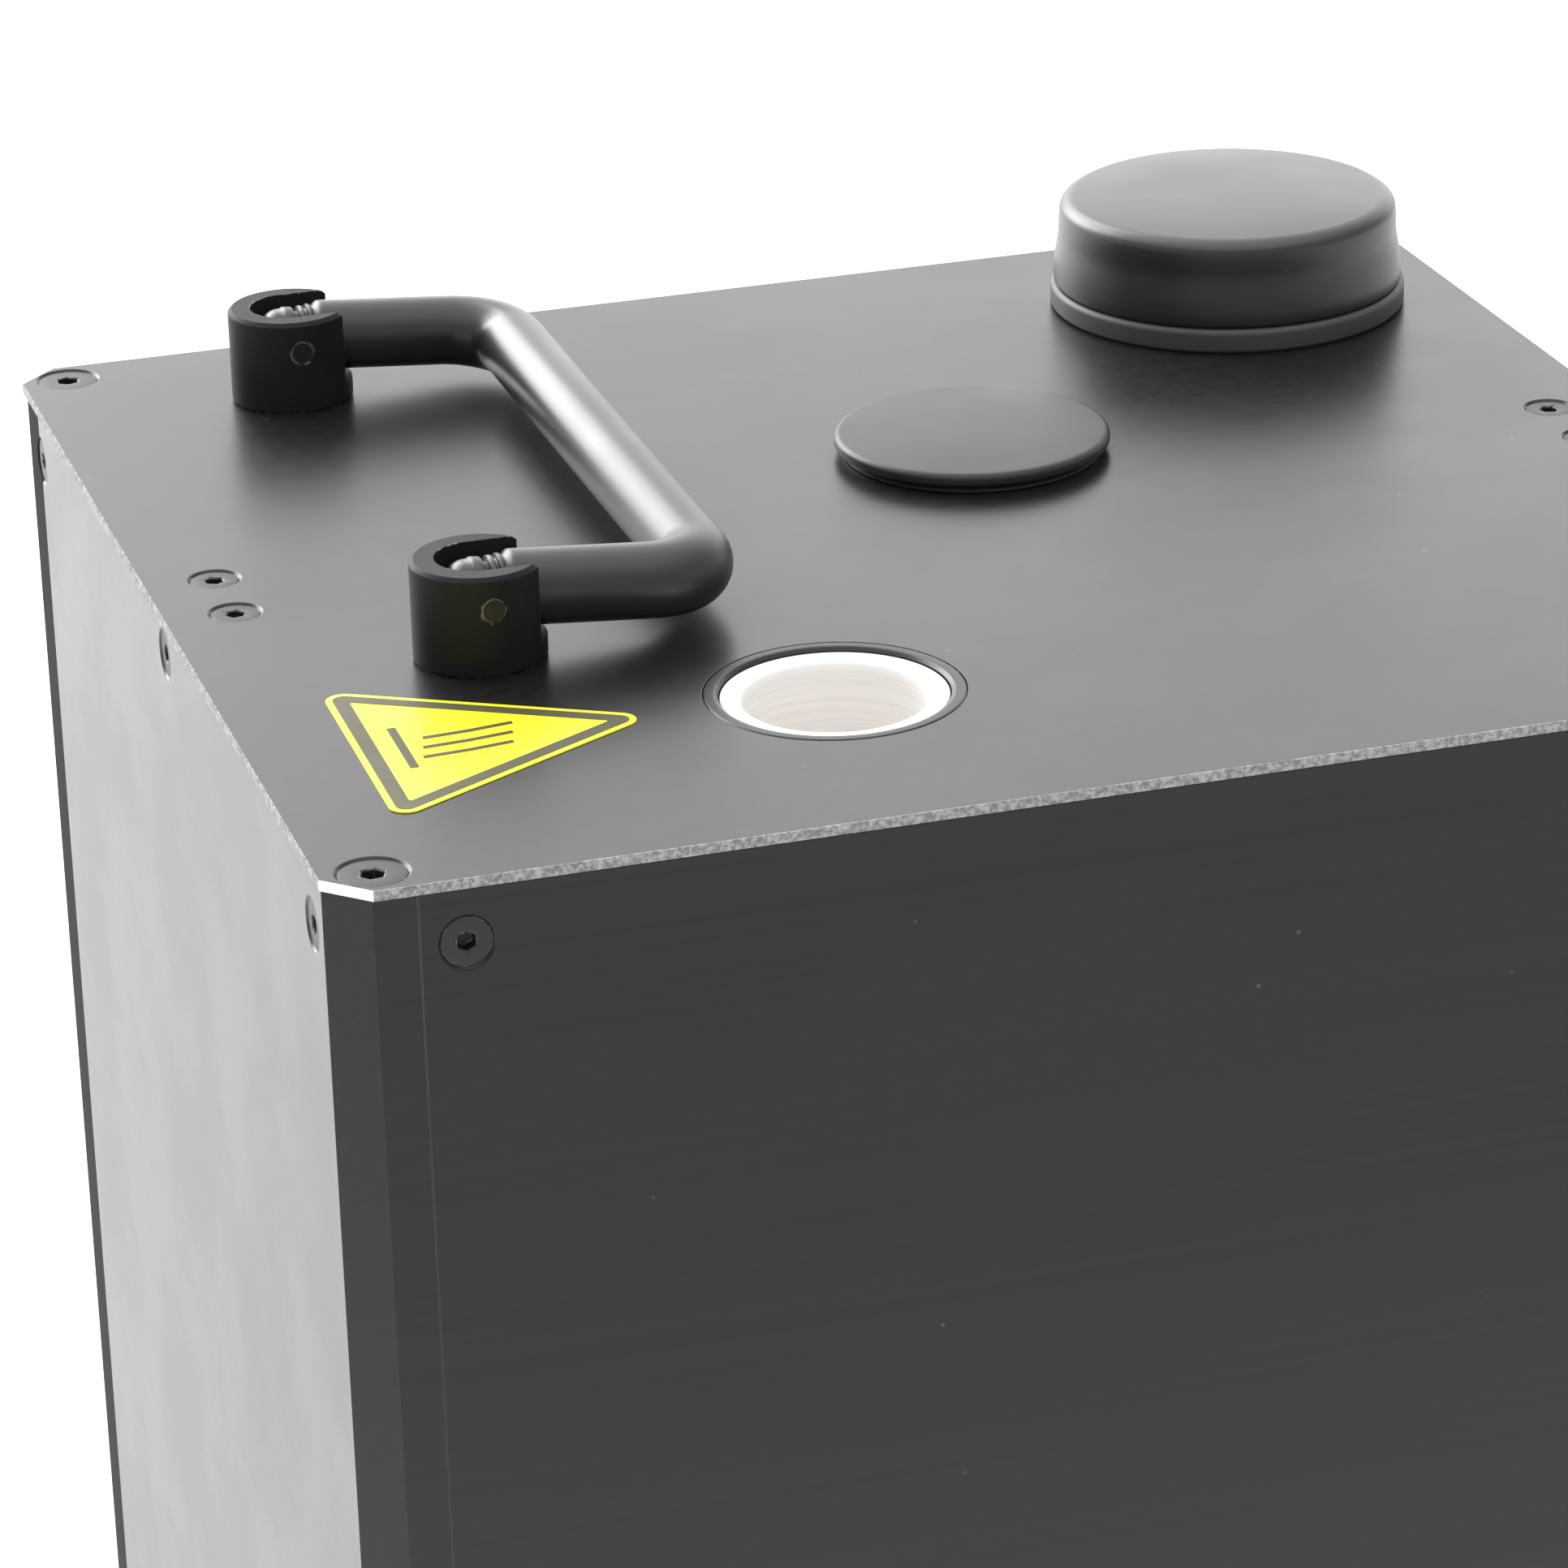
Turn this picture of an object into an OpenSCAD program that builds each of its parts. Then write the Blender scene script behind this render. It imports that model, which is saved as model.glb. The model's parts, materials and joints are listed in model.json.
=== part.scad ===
// Fluid fog machine: a tall sheet-metal box with a chimney outlet, a filler cap and a folding handle on top.
// Millimetres. Z is up, the feet stand on z = 0, the front face looks along -Y.

/* [Case] */
// Width of the top plate
body_w = 193; // [190:1:220]
// Depth of the top plate
body_d = 186; // [184:1:210]
// Height of the top surface above the table
body_h = 300; // [290:1:360]
// Thickness of the top plate
plate_t = 1.25; // [1:0.05:1.5]
// Thickness of the base plate
base_t = 2; // [1.5:0.1:3]
// Thickness of the side panels
panel_t = 1.2; // [1:0.05:1.5]
// Length of the cut on each corner of the plates, along each edge
corner_cut = 4.95; // [4.5:0.05:5.5]
// How far the panels stand back from the plate's edge
panel_inset = 0.3; // [0.2:0.05:0.6]
// Where the slightly bent strip beside each folded corner ends
strip_end = 9.8; // [8:0.1:12]
// Height of the rubber feet
foot_h = 10; // [8:0.5:14]

/* [Outlet] */
// Place of the fog outlet from the left edge
outlet_x = 68.4; // [60:0.1:80]
// Place of the fog outlet from the front edge
outlet_y = 37.9; // [36:0.1:45]
// Diameter of the flush ring around the outlet
ring_d = 30.4; // [30:0.1:32]
// Outer diameter of the white outlet tube
tube_d = 26.6; // [26:0.1:27]
// Bore of the outlet tube
bore_d = 21.6; // [20:0.1:22]

/* [Handle] */
// Place of the handle posts from the left edge
post_x = 32.9; // [30:0.1:36]
// Place of the front handle post from the front edge
post_y = 63.2; // [60:0.1:66]
// Distance between the two handle posts
post_gap = 100; // [98:0.5:101]
// Diameter of a handle post
post_d = 15.9; // [15:0.1:17]
// Height of a handle post above the top plate
post_h = 12.4; // [12:0.1:13]
// Diameter of the handle bar
bar_d = 9.1; // [8.6:0.1:9.2]
// Distance from the hinge pins to the middle of the bar
bar_reach = 28.4; // [26:0.1:32]
// Angle by which the folded handle slopes down
bar_droop = 4.8; // [2:0.1:5]
// Diameter of the hinge pins
pin_d = 3; // [2.5:0.1:3]

/* [Filler] */
// Place of the filler cap from the left edge
filler_x = 161.8; // [158:0.1:164]
// Place of the filler cap from the front edge
filler_y = 156.7; // [154:0.1:157]
// Diameter of the filler cap
cap_d = 45.8; // [45:0.1:47]
// Height of the filler cap above the top plate
cap_h = 15.3; // [15:0.1:16]

/* [Inspection port] */
// Place of the port plug from the left edge
plug_x = 109.6; // [108:0.1:112]
// Place of the port plug from the front edge
plug_y = 110.7; // [108:0.1:114]
// Diameter of the port plug's head
plug_d = 35.2; // [34:0.1:36]
// Thickness of the port plug's head
plug_h = 3.4; // [3:0.1:4]

/* [Rear controls] */
// How far the output knob stands out behind the case
knob_reach = 15; // [14:0.5:18]
// Diameter of the output knob
knob_d = 17; // [15:0.5:20]

/* [Hidden] */

$fn = 64;
eps = 0.01;
top_z = body_h;
plate_z = top_z - plate_t;
floor_z = foot_h + base_t;
inner = panel_inset + panel_t;
panel_top = plate_z - 0.1;

// Screws: [thread, head across the cone, socket across flats, length]
M4 = [4, 8.1, 2.5, 14];
M3 = [3, 6.3, 2, 6];
thread_gap = 0.1;
head_gap = 0.15;
corner_screw_x = 6.1;
corner_screw_y = 5.3;
edge_screw_drop = 7.6;
start_screw_u = 15;
end_screw_u = 10.8;
bracket_x = 8.75;
bracket_y = [87.3, 99.3];
bracket_side_y = 89.5;
bracket_side_drop = 5;

// Corner posts, in the frame of their own corner
corner_u = 18.5;
corner_v = 14.5;

// Handle
pin_z = top_z + 8.3;
post_slot = 4.95;
slot_floor = 2.5;
stud_r = 3;
elbow_r = 8;

// Outlet and heater
ring_bore_r = tube_d / 2 + 0.15;
tube_top = top_z - 0.4;
tube_len = 52;
cutout_x = 12;
tube_bottom = tube_top - tube_len;
heater_top = top_z - 64;
heater_len = 104;
heater_bottom = heater_top - heater_len;
core_r = 19;
coil_r = 2;
coil_ring = core_r + coil_r + 0.2;
coil_turns = 8;
jacket_r = [24.5, 31];

// Filler and tank
collar_r = 24.05;
collar_h = 3.3;
mouth_r = 19;
tank_x = [104, 187];
tank_y = [74, 169.4];
tank_z = [floor_z + 5, top_z - 38];
tank_wall = 2.5;
neck_r = 9.8;

// Inspection port
port_r = 14.1;
sensor_x = plug_x + 7;

// Pump
pump_at = [45, 132];
pump_z = 44;
pump_len = 74;
pump_bore_r = 6;
plunger_len = 26;
spring_len = 14;
plunger_low = pump_len - 12.1 - plunger_len;
bore_low = plunger_low - spring_len;

// Control board, on spacers inside the rear panel
board_x = [18, 100];
board_z = [156, 250];
board_t = 1.6;
spacer_len = 10;
rear_face = body_d - panel_inset;
rear_inner = body_d - inner;
board_y = rear_inner - spacer_len;

// Rear controls, as [x, z]
inlet_at = [32, 52];
switch_at = [32, 98];
socket_at = [78, 52];
button_at = [78, 90];
knob_at = [78, 122];
jack_at = [32, 132];
switch_tilt = 8;

// Hose routes, between fittings that face them
pickup_at = [122, 84];
suction_route = [[pickup_at.x, pickup_at.y, 276.1], [118, 84, 285], [100, 92, 284], [82, 104, 262], [72, 118, 200],
    [70, 128, 120], [64, 132, 50], [55, 132, 28], [pump_at.x + 1, pump_at.y, 26.5], [pump_at.x, pump_at.y, 35.8]];
pressure_route = [[pump_at.x, pump_at.y, 126.2], [pump_at.x, pump_at.y, 138], [46, 118, 146], [52, 92, 134],
    [70, 78, 116], [86, 64, 104], [92, 48, 104],
    [outlet_x + coil_ring, outlet_y - 3, 114], [outlet_x + coil_ring, outlet_y - 3, 125]];

// ---- Helpers ------------------------------------------------------------------------------------------------

function side_len(i) = i % 2 == 0 ? body_w : body_d;
function unit(v) = v / norm(v);
function left_of(a, b) = let (d = unit(b - a)) [-d.y, d.x];

// The same path a sheet's thickness further in, with mitred bends
function inner_path(p, t) = [for (i = [0 : len(p) - 1])
    let (before = left_of(p[max(i - 1, 0)], p[max(i, 1)]), after = left_of(p[min(i, len(p) - 2)], p[min(i + 1, len(p) - 1)]))
    p[i] + t * (before + after) / (1 + before * after)];

function reversed(p) = [for (i = [len(p) - 1 : -1 : 0]) p[i]];

// One point of a Catmull-Rom curve through a, b, c and d, between b and c
function spline_point(a, b, c, d, t) =
    0.5 * (2 * b + (c - a) * t + (2 * a - 5 * b + 4 * c - d) * t * t + (3 * b - a - 3 * c + d) * t * t * t);

function smooth(p, steps) = [for (i = [0 : len(p) - 2], s = [0 : steps - 1])
    spline_point(p[max(i - 1, 0)], p[i], p[i + 1], p[min(i + 2, len(p) - 1)], s / steps), p[len(p) - 1]];

function helix(r, z, height, turns, steps) = [for (i = [0 : turns * steps])
    let (a = 360 * i / steps) [r * cos(a), r * sin(a), z + height * i / (turns * steps)]];

// A round rod swept along a path of points
module swept_rod(path, r, sides = 8, ref = [0.2, 0.1, 1]) {
    last = len(path) - 1;
    rings = [for (i = [0 : last])
        let (t = unit(path[min(i + 1, last)] - path[max(i - 1, 0)]), a = unit(cross(t, ref)), b = cross(t, a))
        each [for (k = [0 : sides - 1]) path[i] + r * (cos(360 * k / sides) * a + sin(360 * k / sides) * b)]];
    walls = [for (i = [0 : last - 1], k = [0 : sides - 1])
        let (n = (k + 1) % sides) [i * sides + k, (i + 1) * sides + k, (i + 1) * sides + n, i * sides + n]];
    start = [for (k = [0 : sides - 1]) k];
    end = [for (k = [sides - 1 : -1 : 0]) last * sides + k];
    polyhedron(rings, concat([start], walls, [end]));
}

// Moves to the near corner of a side, with +X along the side and +Y into the case
module at_side(i) {
    corners = [[0, 0], [body_w, 0], [body_w, body_d], [0, body_d]];
    translate(corners[i]) rotate([0, 0, 90 * i]) children();
}

// Moves to a place on the rear panel, with +Z pointing out of the case and +Y up
module at_rear(place, out = 0) {
    translate([place.x, rear_face + out, place.y]) rotate([90, 0, 180]) children();
}

module at_outlet(z = 0) {
    translate([outlet_x, outlet_y, z]) children();
}

module tube(r_out, r_in, h) {
    difference() {
        cylinder(r = r_out, h = h);
        translate([0, 0, -1]) cylinder(r = r_in, h = h + 2);
    }
}

module box(size, centre) {
    translate(centre - size / 2) cube(size);
}

// A countersunk socket screw, its flat head in the plane z = 0 and its thread pointing down
module flat_screw(kind) {
    thread_r = kind[0] / 2 - thread_gap;
    head_r = kind[1] / 2;
    difference() {
        union() {
            translate([0, 0, thread_r - head_r]) cylinder(r1 = thread_r, r2 = head_r, h = head_r - thread_r);
            translate([0, 0, -kind[3]]) cylinder(r = thread_r, h = kind[3] - 0.5);
        }
        translate([0, 0, -0.55 * kind[0]]) cylinder(d = kind[2] / cos(30), h = kind[0], $fn = 6);
    }
}

// The hole that a countersunk screw needs
module flat_screw_hole(kind) {
    thread_r = kind[0] / 2;
    head_r = kind[1] / 2 + head_gap;
    translate([0, 0, thread_r - head_r]) cylinder(r1 = thread_r, r2 = head_r, h = head_r - thread_r);
    translate([0, 0, -eps]) cylinder(r = head_r, h = 2);
    translate([0, 0, -kind[3] - 1]) cylinder(r = thread_r, h = kind[3] + 1);
}

module plate_outline() {
    c = corner_cut;
    polygon([[c, 0], [body_w - c, 0], [body_w, c], [body_w, body_d - c], [body_w - c, body_d], [c, body_d],
        [0, body_d - c], [0, c]]);
}

module at_corner_screws() {
    for (x = [corner_screw_x, body_w - corner_screw_x], y = [corner_screw_y, body_d - corner_screw_y])
        translate([x, y]) children();
}

module at_bracket_screws() {
    for (x = [bracket_x, body_w - bracket_x], y = bracket_y)
        translate([x, y, top_z]) children();
}

// Every screw of one side panel, with the head's plane on the panel's face
module at_panel_screws(i) {
    heights = [floor_z + edge_screw_drop, top_z - edge_screw_drop];
    at_side(i) for (u = [start_screw_u, side_len(i) - end_screw_u], z = heights)
        translate([u, panel_inset, z]) rotate([90, 0, 0]) children();
    if (i % 2 == 1)
        translate([i == 1 ? body_w - panel_inset : panel_inset, bracket_side_y, top_z - bracket_side_drop])
            rotate([0, i == 1 ? 90 : -90, 0]) children();
}

// ---- Case ---------------------------------------------------------------------------------------------------

module top_plate() {
    color("#3a3a3c") difference() {
        translate([0, 0, plate_z]) linear_extrude(plate_t) plate_outline();
        translate([0, 0, top_z]) at_corner_screws() flat_screw_hole(M4);
        at_bracket_screws() flat_screw_hole(M3);
        at_outlet(plate_z - 1) cylinder(d = ring_d + 0.2, h = plate_t + 2);
        translate([filler_x, filler_y, plate_z - 1]) cylinder(r = mouth_r + 0.2, h = plate_t + 2);
        translate([plug_x, plug_y, plate_z - 1]) cylinder(r = port_r, h = plate_t + 2);
        for (y = [post_y, post_y + post_gap])
            translate([post_x, y, plate_z - 1]) cylinder(r = stud_r + 0.2, h = plate_t + 2);
    }
}

// A side panel: a 45 degree fold at its left end, a slightly bent strip beside it, and a plain right end
module side_sheet(i) {
    dip = 0.25;
    outer = [[panel_inset, corner_cut], [corner_cut, panel_inset + dip], [strip_end, panel_inset],
        [side_len(i) - corner_cut - 0.2, panel_inset]];
    inside = inner_path(outer, panel_t);
    slope = unit(outer[1] - outer[0]);
    start = inside[0] + slope * (corner_cut - inside[0].y) / slope.y;
    difference() {
        at_side(i) translate([0, 0, floor_z]) linear_extrude(panel_top - floor_z)
            polygon(concat(outer, reversed([for (k = [0 : 3]) k == 0 ? start : inside[k]])));
        at_panel_screws(i) flat_screw_hole(M3);
    }
}

module front_panel() { color("#333335") side_sheet(0); }
module right_panel() { color("#333335") side_sheet(1); }
module left_panel() { color("#333335") side_sheet(3); }

module rear_panel() {
    color("#333335") difference() {
        side_sheet(2);
        at_rear(inlet_at) box([27.6, 32.4, 12], [0, 0, 0]);
        at_rear(switch_at) box([22.6, 28.6, 12], [0, 0, 0]);
        at_rear(socket_at) cylinder(r = 11.9, h = 12, center = true);
        at_rear(button_at) cylinder(r = 8.2, h = 12, center = true);
        at_rear(knob_at) cylinder(r = 4.2, h = 12, center = true);
        at_rear(jack_at) cylinder(r = 5.2, h = 12, center = true);
        for (k = [0 : 9])
            at_rear([22 + 8 * k, top_z - 28]) box([3, 22, 12], [0, 0, 0]);
        at_board_spacers() translate([0, 0, -spacer_len - 1]) cylinder(r = 1.6, h = spacer_len + 8);
    }
}

module base_plate() {
    slot_x = [24, 52, 80];
    color("#3a3a3c") difference() {
        translate([0, 0, foot_h]) linear_extrude(base_t) plate_outline();
        translate([0, 0, foot_h]) at_corner_screws() mirror([0, 0, 1]) flat_screw_hole(M4);
        at_feet() translate([0, 0, foot_h - 1]) cylinder(r = 2.1, h = base_t + 2);
        for (x = slot_x, k = [0 : 5])
            box([20, 3, 12], [x, 96 + 7 * k, foot_h]);
    }
}

module corner_posts() {
    c = corner_cut + panel_t / 2;
    v0 = inner;
    section = [[v0, c + 0.9], [c + 0.9, v0 + 0.3], [strip_end + 1, v0], [corner_u, v0], [corner_u, corner_v],
        [v0, corner_v]];
    color("#a8a8aa") difference() {
        for (i = [0 : 3])
            at_side(i) translate([0, 0, floor_z]) linear_extrude(plate_z - floor_z) polygon(section);
        translate([0, 0, top_z]) at_corner_screws() flat_screw_hole(M4);
        translate([0, 0, foot_h]) at_corner_screws() mirror([0, 0, 1]) flat_screw_hole(M4);
        for (i = [0 : 3])
            at_panel_screws(i) flat_screw_hole(M3);
    }
}

// Blocks that tie the top plate to the middle of the left and right panels
module side_brackets() {
    size = [13.2, 25, 10];
    middle_y = (bracket_y[0] + bracket_y[1]) / 2;
    color("#a8a8aa") difference() {
        for (x = [inner + size.x / 2, body_w - inner - size.x / 2])
            box(size, [x, middle_y, plate_z - size.z / 2]);
        at_bracket_screws() flat_screw_hole(M3);
        for (i = [1, 3])
            at_panel_screws(i) flat_screw_hole(M3);
    }
}

module at_feet() {
    inset = 22;
    for (x = [inset, body_w - inset], y = [inset, body_d - inset])
        translate([x, y]) children();
}

module feet() {
    profile = [[2.1, 3.2], [5.2, 3.2], [5.2, 0], [9.4, 0], [10.4, 0.8], [11, foot_h], [2.1, foot_h]];
    color("#1c1c1c") at_feet() rotate_extrude() polygon(profile);
}

module foot_screws() {
    color("#8a8a8c") at_feet() {
        translate([0, 0, 0.8]) cylinder(r = 4.4, h = 2.4);
        translate([0, 0, 3.2]) cylinder(r = 1.95, h = foot_h + base_t - 0.2);
        translate([0, 0, floor_z]) cylinder(d = 8, h = 3, $fn = 6);
    }
}

module corner_screws() {
    color("#2a2a2a") {
        translate([0, 0, top_z]) at_corner_screws() flat_screw(M4);
        translate([0, 0, foot_h]) at_corner_screws() mirror([0, 0, 1]) flat_screw(M4);
    }
}

module case_screws() {
    color("#2a2a2a") {
        at_bracket_screws() flat_screw(M3);
        for (i = [0 : 3])
            at_panel_screws(i) flat_screw(M3);
    }
}

// ---- Handle -------------------------------------------------------------------------------------------------

// A round post with a slot that is open above and towards the bar, and a stud through the top plate
module handle_post(y) {
    rim = 0.5;
    r = post_d / 2;
    color("#1f1f20") translate([post_x, y, top_z]) difference() {
        union() {
            rotate_extrude() polygon([[0, 0], [r - 0.25, 0], [r, 0.35], [r, post_h - rim], [r - rim, post_h], [0, post_h]]);
            translate([0, 0, -12]) cylinder(r = stud_r, h = 12 + eps);
        }
        translate([0, 0, slot_floor]) cylinder(r = post_slot, h = post_h);
        translate([0, -post_slot, slot_floor]) cube([post_d, 2 * post_slot, post_h]);
        translate([0, 0, pin_z - top_z]) rotate([90, 0, 0]) cylinder(d = pin_d, h = 2 * post_d, center = true);
    }
}

module handle_post_front() { handle_post(post_y); }
module handle_post_rear() { handle_post(post_y + post_gap); }

module hinge_pins() {
    color("#4a4a4c") for (y = [post_y, post_y + post_gap])
        translate([post_x, y, pin_z]) rotate([90, 0, 0]) cylinder(d = pin_d, h = post_d - 0.3, center = true);
}

module handle_nuts() {
    color("#9a9a9c") for (y = [post_y, post_y + post_gap])
        translate([post_x, y, plate_z]) {
            translate([0, 0, -1]) tube(6, stud_r + 0.15, 1);
            difference() {
                translate([0, 0, -6]) cylinder(d = 11.5, h = 5, $fn = 6);
                translate([0, 0, -7]) cylinder(r = stud_r + 0.02, h = 8);
            }
        }
}

// A leg of the bar, pointing along +X from its hinge pin: a turned end in the slot, then the round bar
module handle_leg(length) {
    r = bar_d / 2;
    turned = [[0, -4.1], [1.6, -3.9], [2.9, -3.1], [3.5, -2], [3.6, -1.2], [3.8, -1], [3.8, 0.2], [3.2, 0.4], [3.2, 0.9],
        [3.9, 1.1], [3.9, 1.6], [3.5, 1.75], [3.5, 2], [4.1, 2.15], [4.1, 2.6], [3.8, 2.8], [3.9, 3.1], [r, 3.6],
        [r, length], [0, length]];
    rotate([0, 90, 0]) rotate_extrude() polygon(turned);
}

module handle_bar() {
    straight = bar_reach - elbow_r;
    color("#262627") translate([post_x, post_y, pin_z]) rotate([0, bar_droop, 0]) difference() {
        union() {
            for (y = [0, post_gap])
                translate([0, y, 0]) handle_leg(straight);
            translate([bar_reach, elbow_r, 0]) rotate([-90, 0, 0]) cylinder(d = bar_d, h = post_gap - 2 * elbow_r);
            translate([straight, elbow_r, 0]) rotate([0, 0, -90]) elbow();
            translate([straight, post_gap - elbow_r, 0]) elbow();
        }
        for (y = [0, post_gap])
            translate([0, y, 0]) rotate([90, 0, 0]) cylinder(d = pin_d + 0.1, h = 2 * bar_d, center = true);
    }
}

module elbow() {
    rotate_extrude(angle = 90) translate([elbow_r, 0]) circle(d = bar_d);
}

// ---- Outlet and heater --------------------------------------------------------------------------------------

module outlet_ring() {
    flange_r = 19.5;
    profile = [[ring_bore_r, top_z - 4], [flange_r, top_z - 4], [flange_r, plate_z], [ring_d / 2, plate_z],
        [ring_d / 2, top_z - 0.1], [ring_d / 2 - 0.2, top_z + 0.05], [ring_bore_r + 0.35, top_z + 0.05],
        [ring_bore_r, top_z - 0.3]];
    color("#161616") at_outlet() rotate_extrude() polygon(profile);
}

module outlet_tube() {
    r = tube_d / 2;
    b = bore_d / 2;
    profile = [[b, tube_bottom], [r, tube_bottom], [r, tube_top - 0.15], [r - 0.25, tube_top], [b + 0.2, tube_top - 0.45],
        [b, tube_top - 0.7]];
    color("white") at_outlet() rotate_extrude() polygon(profile);
}

// The cup that carries the outlet tube on top of the heater
module outlet_socket() {
    r = tube_d / 2 + 0.1;
    profile = [[5, heater_top], [20, heater_top], [20, heater_top + 2.5], [r + 2.2, heater_top + 2.5], [r + 2.2, tube_bottom + 14],
        [r, tube_bottom + 14], [r, tube_bottom - 0.05], [bore_d / 2 - 2, tube_bottom - 0.05], [bore_d / 2 - 2, heater_top + 2.5],
        [5, heater_top + 2.5]];
    color("#b9b9bb") at_outlet() rotate_extrude() polygon(profile);
}

module nozzle() {
    color("#c8a24a") at_outlet(heater_top) difference() {
        union() {
            translate([0, 0, -8]) cylinder(r = 4, h = 8 + eps);
            cylinder(d = 9.6, h = 5, $fn = 6);
            translate([0, 0, 5 - eps]) cylinder(r1 = 3.6, r2 = 2, h = 6);
        }
        translate([0, 0, -9]) cylinder(r = 0.8, h = 22);
    }
}

// The cast core: the cartridge heater fits its bore from below, and the nozzle screws in above
module heater_core() {
    color("#b0b0b2") at_outlet() difference() {
        translate([0, 0, heater_bottom]) cylinder(r = core_r, h = heater_len);
        translate([0, 0, heater_bottom - 1]) cylinder(r = 6.05, h = 81);
        translate([0, 0, heater_top - 8.5]) cylinder(r = 4.05, h = 10);
        translate([0, 0, heater_top - 10]) rotate([0, 90, 0]) cylinder(r = 1.5, h = core_r + 5);
    }
}

module heater_coil() {
    color("#cfcfd1") at_outlet()
        swept_rod(concat([for (p = [[-3, -6.8], [-3, 2], [-2.2, 4.8]]) [coil_ring, p.x, heater_bottom + p.y]],
            helix(coil_ring, heater_bottom + 6, heater_len - 20, coil_turns, 22)), coil_r, 8);
}

module heater_cartridge() {
    color("#d5d5d7") at_outlet() {
        translate([0, 0, heater_bottom - 6]) cylinder(r = 5.95, h = 84);
        translate([0, 0, heater_bottom - 12]) cylinder(r = 4.5, h = 6 + eps);
    }
}

module thermal_cutout() {
    color("#3a3a3a") at_outlet(heater_bottom - 8) {
        translate([cutout_x, 0, 0]) cylinder(r = 4.4, h = 6.9);
        for (y = [-3, 3])
            box([0.8, 3, 6], [cutout_x + 2, y, -2.9]);
    }
}

module insulation_jacket() {
    color("#d9cfae") at_outlet(heater_bottom + 0.5) tube(jacket_r[1], jacket_r[0], heater_len - 2);
}

module heater_shield() {
    r = jacket_r[1] + 0.2;
    color("#c4c4c6") at_outlet() {
        translate([0, 0, heater_bottom]) tube(r + 0.6, r, heater_len - 0.7);
        translate([0, 0, heater_top - 0.7 - eps]) tube(r + 0.6, core_r + 0.5, 0.7);
    }
}

module heater_stand() {
    spread = 25;
    color("#a8a8aa") at_outlet() {
        difference() {
            translate([0, 0, heater_bottom - 1.6]) cylinder(r = 32, h = 1.55);
            translate([0, 0, heater_bottom - 3]) cylinder(r = 6.3, h = 5);
            translate([cutout_x, 0, heater_bottom - 3]) cylinder(r = 4.7, h = 5);
            translate([coil_ring, -3, heater_bottom - 3]) cylinder(r = coil_r + 0.5, h = 5);
        }
        for (a = [90, 210, 330])
            rotate([0, 0, a]) translate([spread, 0, floor_z])
                cylinder(d = 7, h = heater_bottom - 1.5 - floor_z, $fn = 6);
    }
}

// ---- Filler, tank and port ----------------------------------------------------------------------------------

module at_filler() {
    translate([filler_x, filler_y, 0]) children();
}

// The fixed collar: a flange on the plate, a short wide mouth under the cap, and a funnel down into the tank
module filler_collar() {
    wall = 1.8;
    low = tank_z[1] - 8;
    profile = [[mouth_r - wall, top_z + 10.5], [mouth_r, top_z + 10.5], [mouth_r, top_z + collar_h], [collar_r - 0.5, top_z + collar_h],
        [collar_r, top_z + collar_h - 0.5], [collar_r, top_z + 0.4], [collar_r - 0.4, top_z], [mouth_r, top_z],
        [mouth_r, plate_z - 14], [neck_r, plate_z - 26], [neck_r, low], [neck_r - wall, low], [neck_r - wall, plate_z - 26],
        [mouth_r - wall, plate_z - 14]];
    color("#3a3a3b") at_filler() rotate_extrude() polygon(profile);
}

module filler_cap() {
    r = cap_d / 2;
    z = top_z + collar_h + 0.1;
    t = top_z + cap_h;
    profile = [[0, t + 0.5], [8, t + 0.4], [15, t + 0.1], [r - 1.9, t - 0.35], [r - 0.8, t - 0.8], [r - 0.2, t - 1.5],
        [r, t - 2.4], [r, z + 4.6], [r + 0.55, z + 3.2], [r + 0.75, z + 2], [r + 0.75, z + 0.3], [r + 0.5, z],
        [mouth_r + 0.5, z], [mouth_r + 0.5, t - 2.6], [0, t - 2.6]];
    color("#2b2b2c") at_filler() rotate_extrude() polygon(profile);
}

module cap_seal() {
    z = top_z + 10.8;
    color("#5a5a5c") at_filler() translate([0, 0, z]) tube(mouth_r + 0.3, mouth_r - 4, top_z + cap_h - 2.6 - z);
}

// The head is slightly dished, with a round rim and an undercut edge, on a hollow spigot
module port_plug() {
    r = plug_d / 2;
    h = plug_h;
    s = port_r - 0.3;
    profile = [[0, h - 0.5], [9, h - 0.4], [13.5, h - 0.1], [r - 2, h], [r - 0.9, h - 0.25], [r - 0.25, h - 0.8], [r, h - 1.6],
        [r - 0.1, 1.3], [r - 0.7, 0.5], [r - 0.9, 0.05], [s, 0.05], [s, -3.2], [s + 0.15, -4.2], [s - 0.8, -8],
        [s - 2.4, -8], [s - 2.4, 0.8], [0, 0.8]];
    color("#242425") translate([plug_x, plug_y, top_z]) rotate_extrude() polygon(profile);
}

module tank_block(grow) {
    r = 8 + grow;
    size = [tank_x[1] - tank_x[0] + 2 * grow, tank_y[1] - tank_y[0] + 2 * grow];
    translate([tank_x[0] - grow, tank_y[0] - grow, tank_z[0] - grow]) linear_extrude(tank_z[1] - tank_z[0] + 2 * grow)
        union() {
            translate([r, 0]) square([size.x - 2 * r, size.y]);
            translate([0, r]) square([size.x, size.y - 2 * r]);
            for (x = [r, size.x - r], y = [r, size.y - r])
                translate([x, y]) circle(r = r);
        }
}

module fluid_tank() {
    color("#e6e8e4") difference() {
        tank_block(0);
        tank_block(-tank_wall);
        at_filler() translate([0, 0, tank_z[1] - 5]) cylinder(r = neck_r + 0.15, h = 10);
        translate([sensor_x, plug_y, tank_z[1] - 5]) cylinder(r = 5, h = 10);
        translate([pickup_at.x, pickup_at.y, tank_z[1] - 5]) cylinder(r = 5, h = 10);
    }
}

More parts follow.
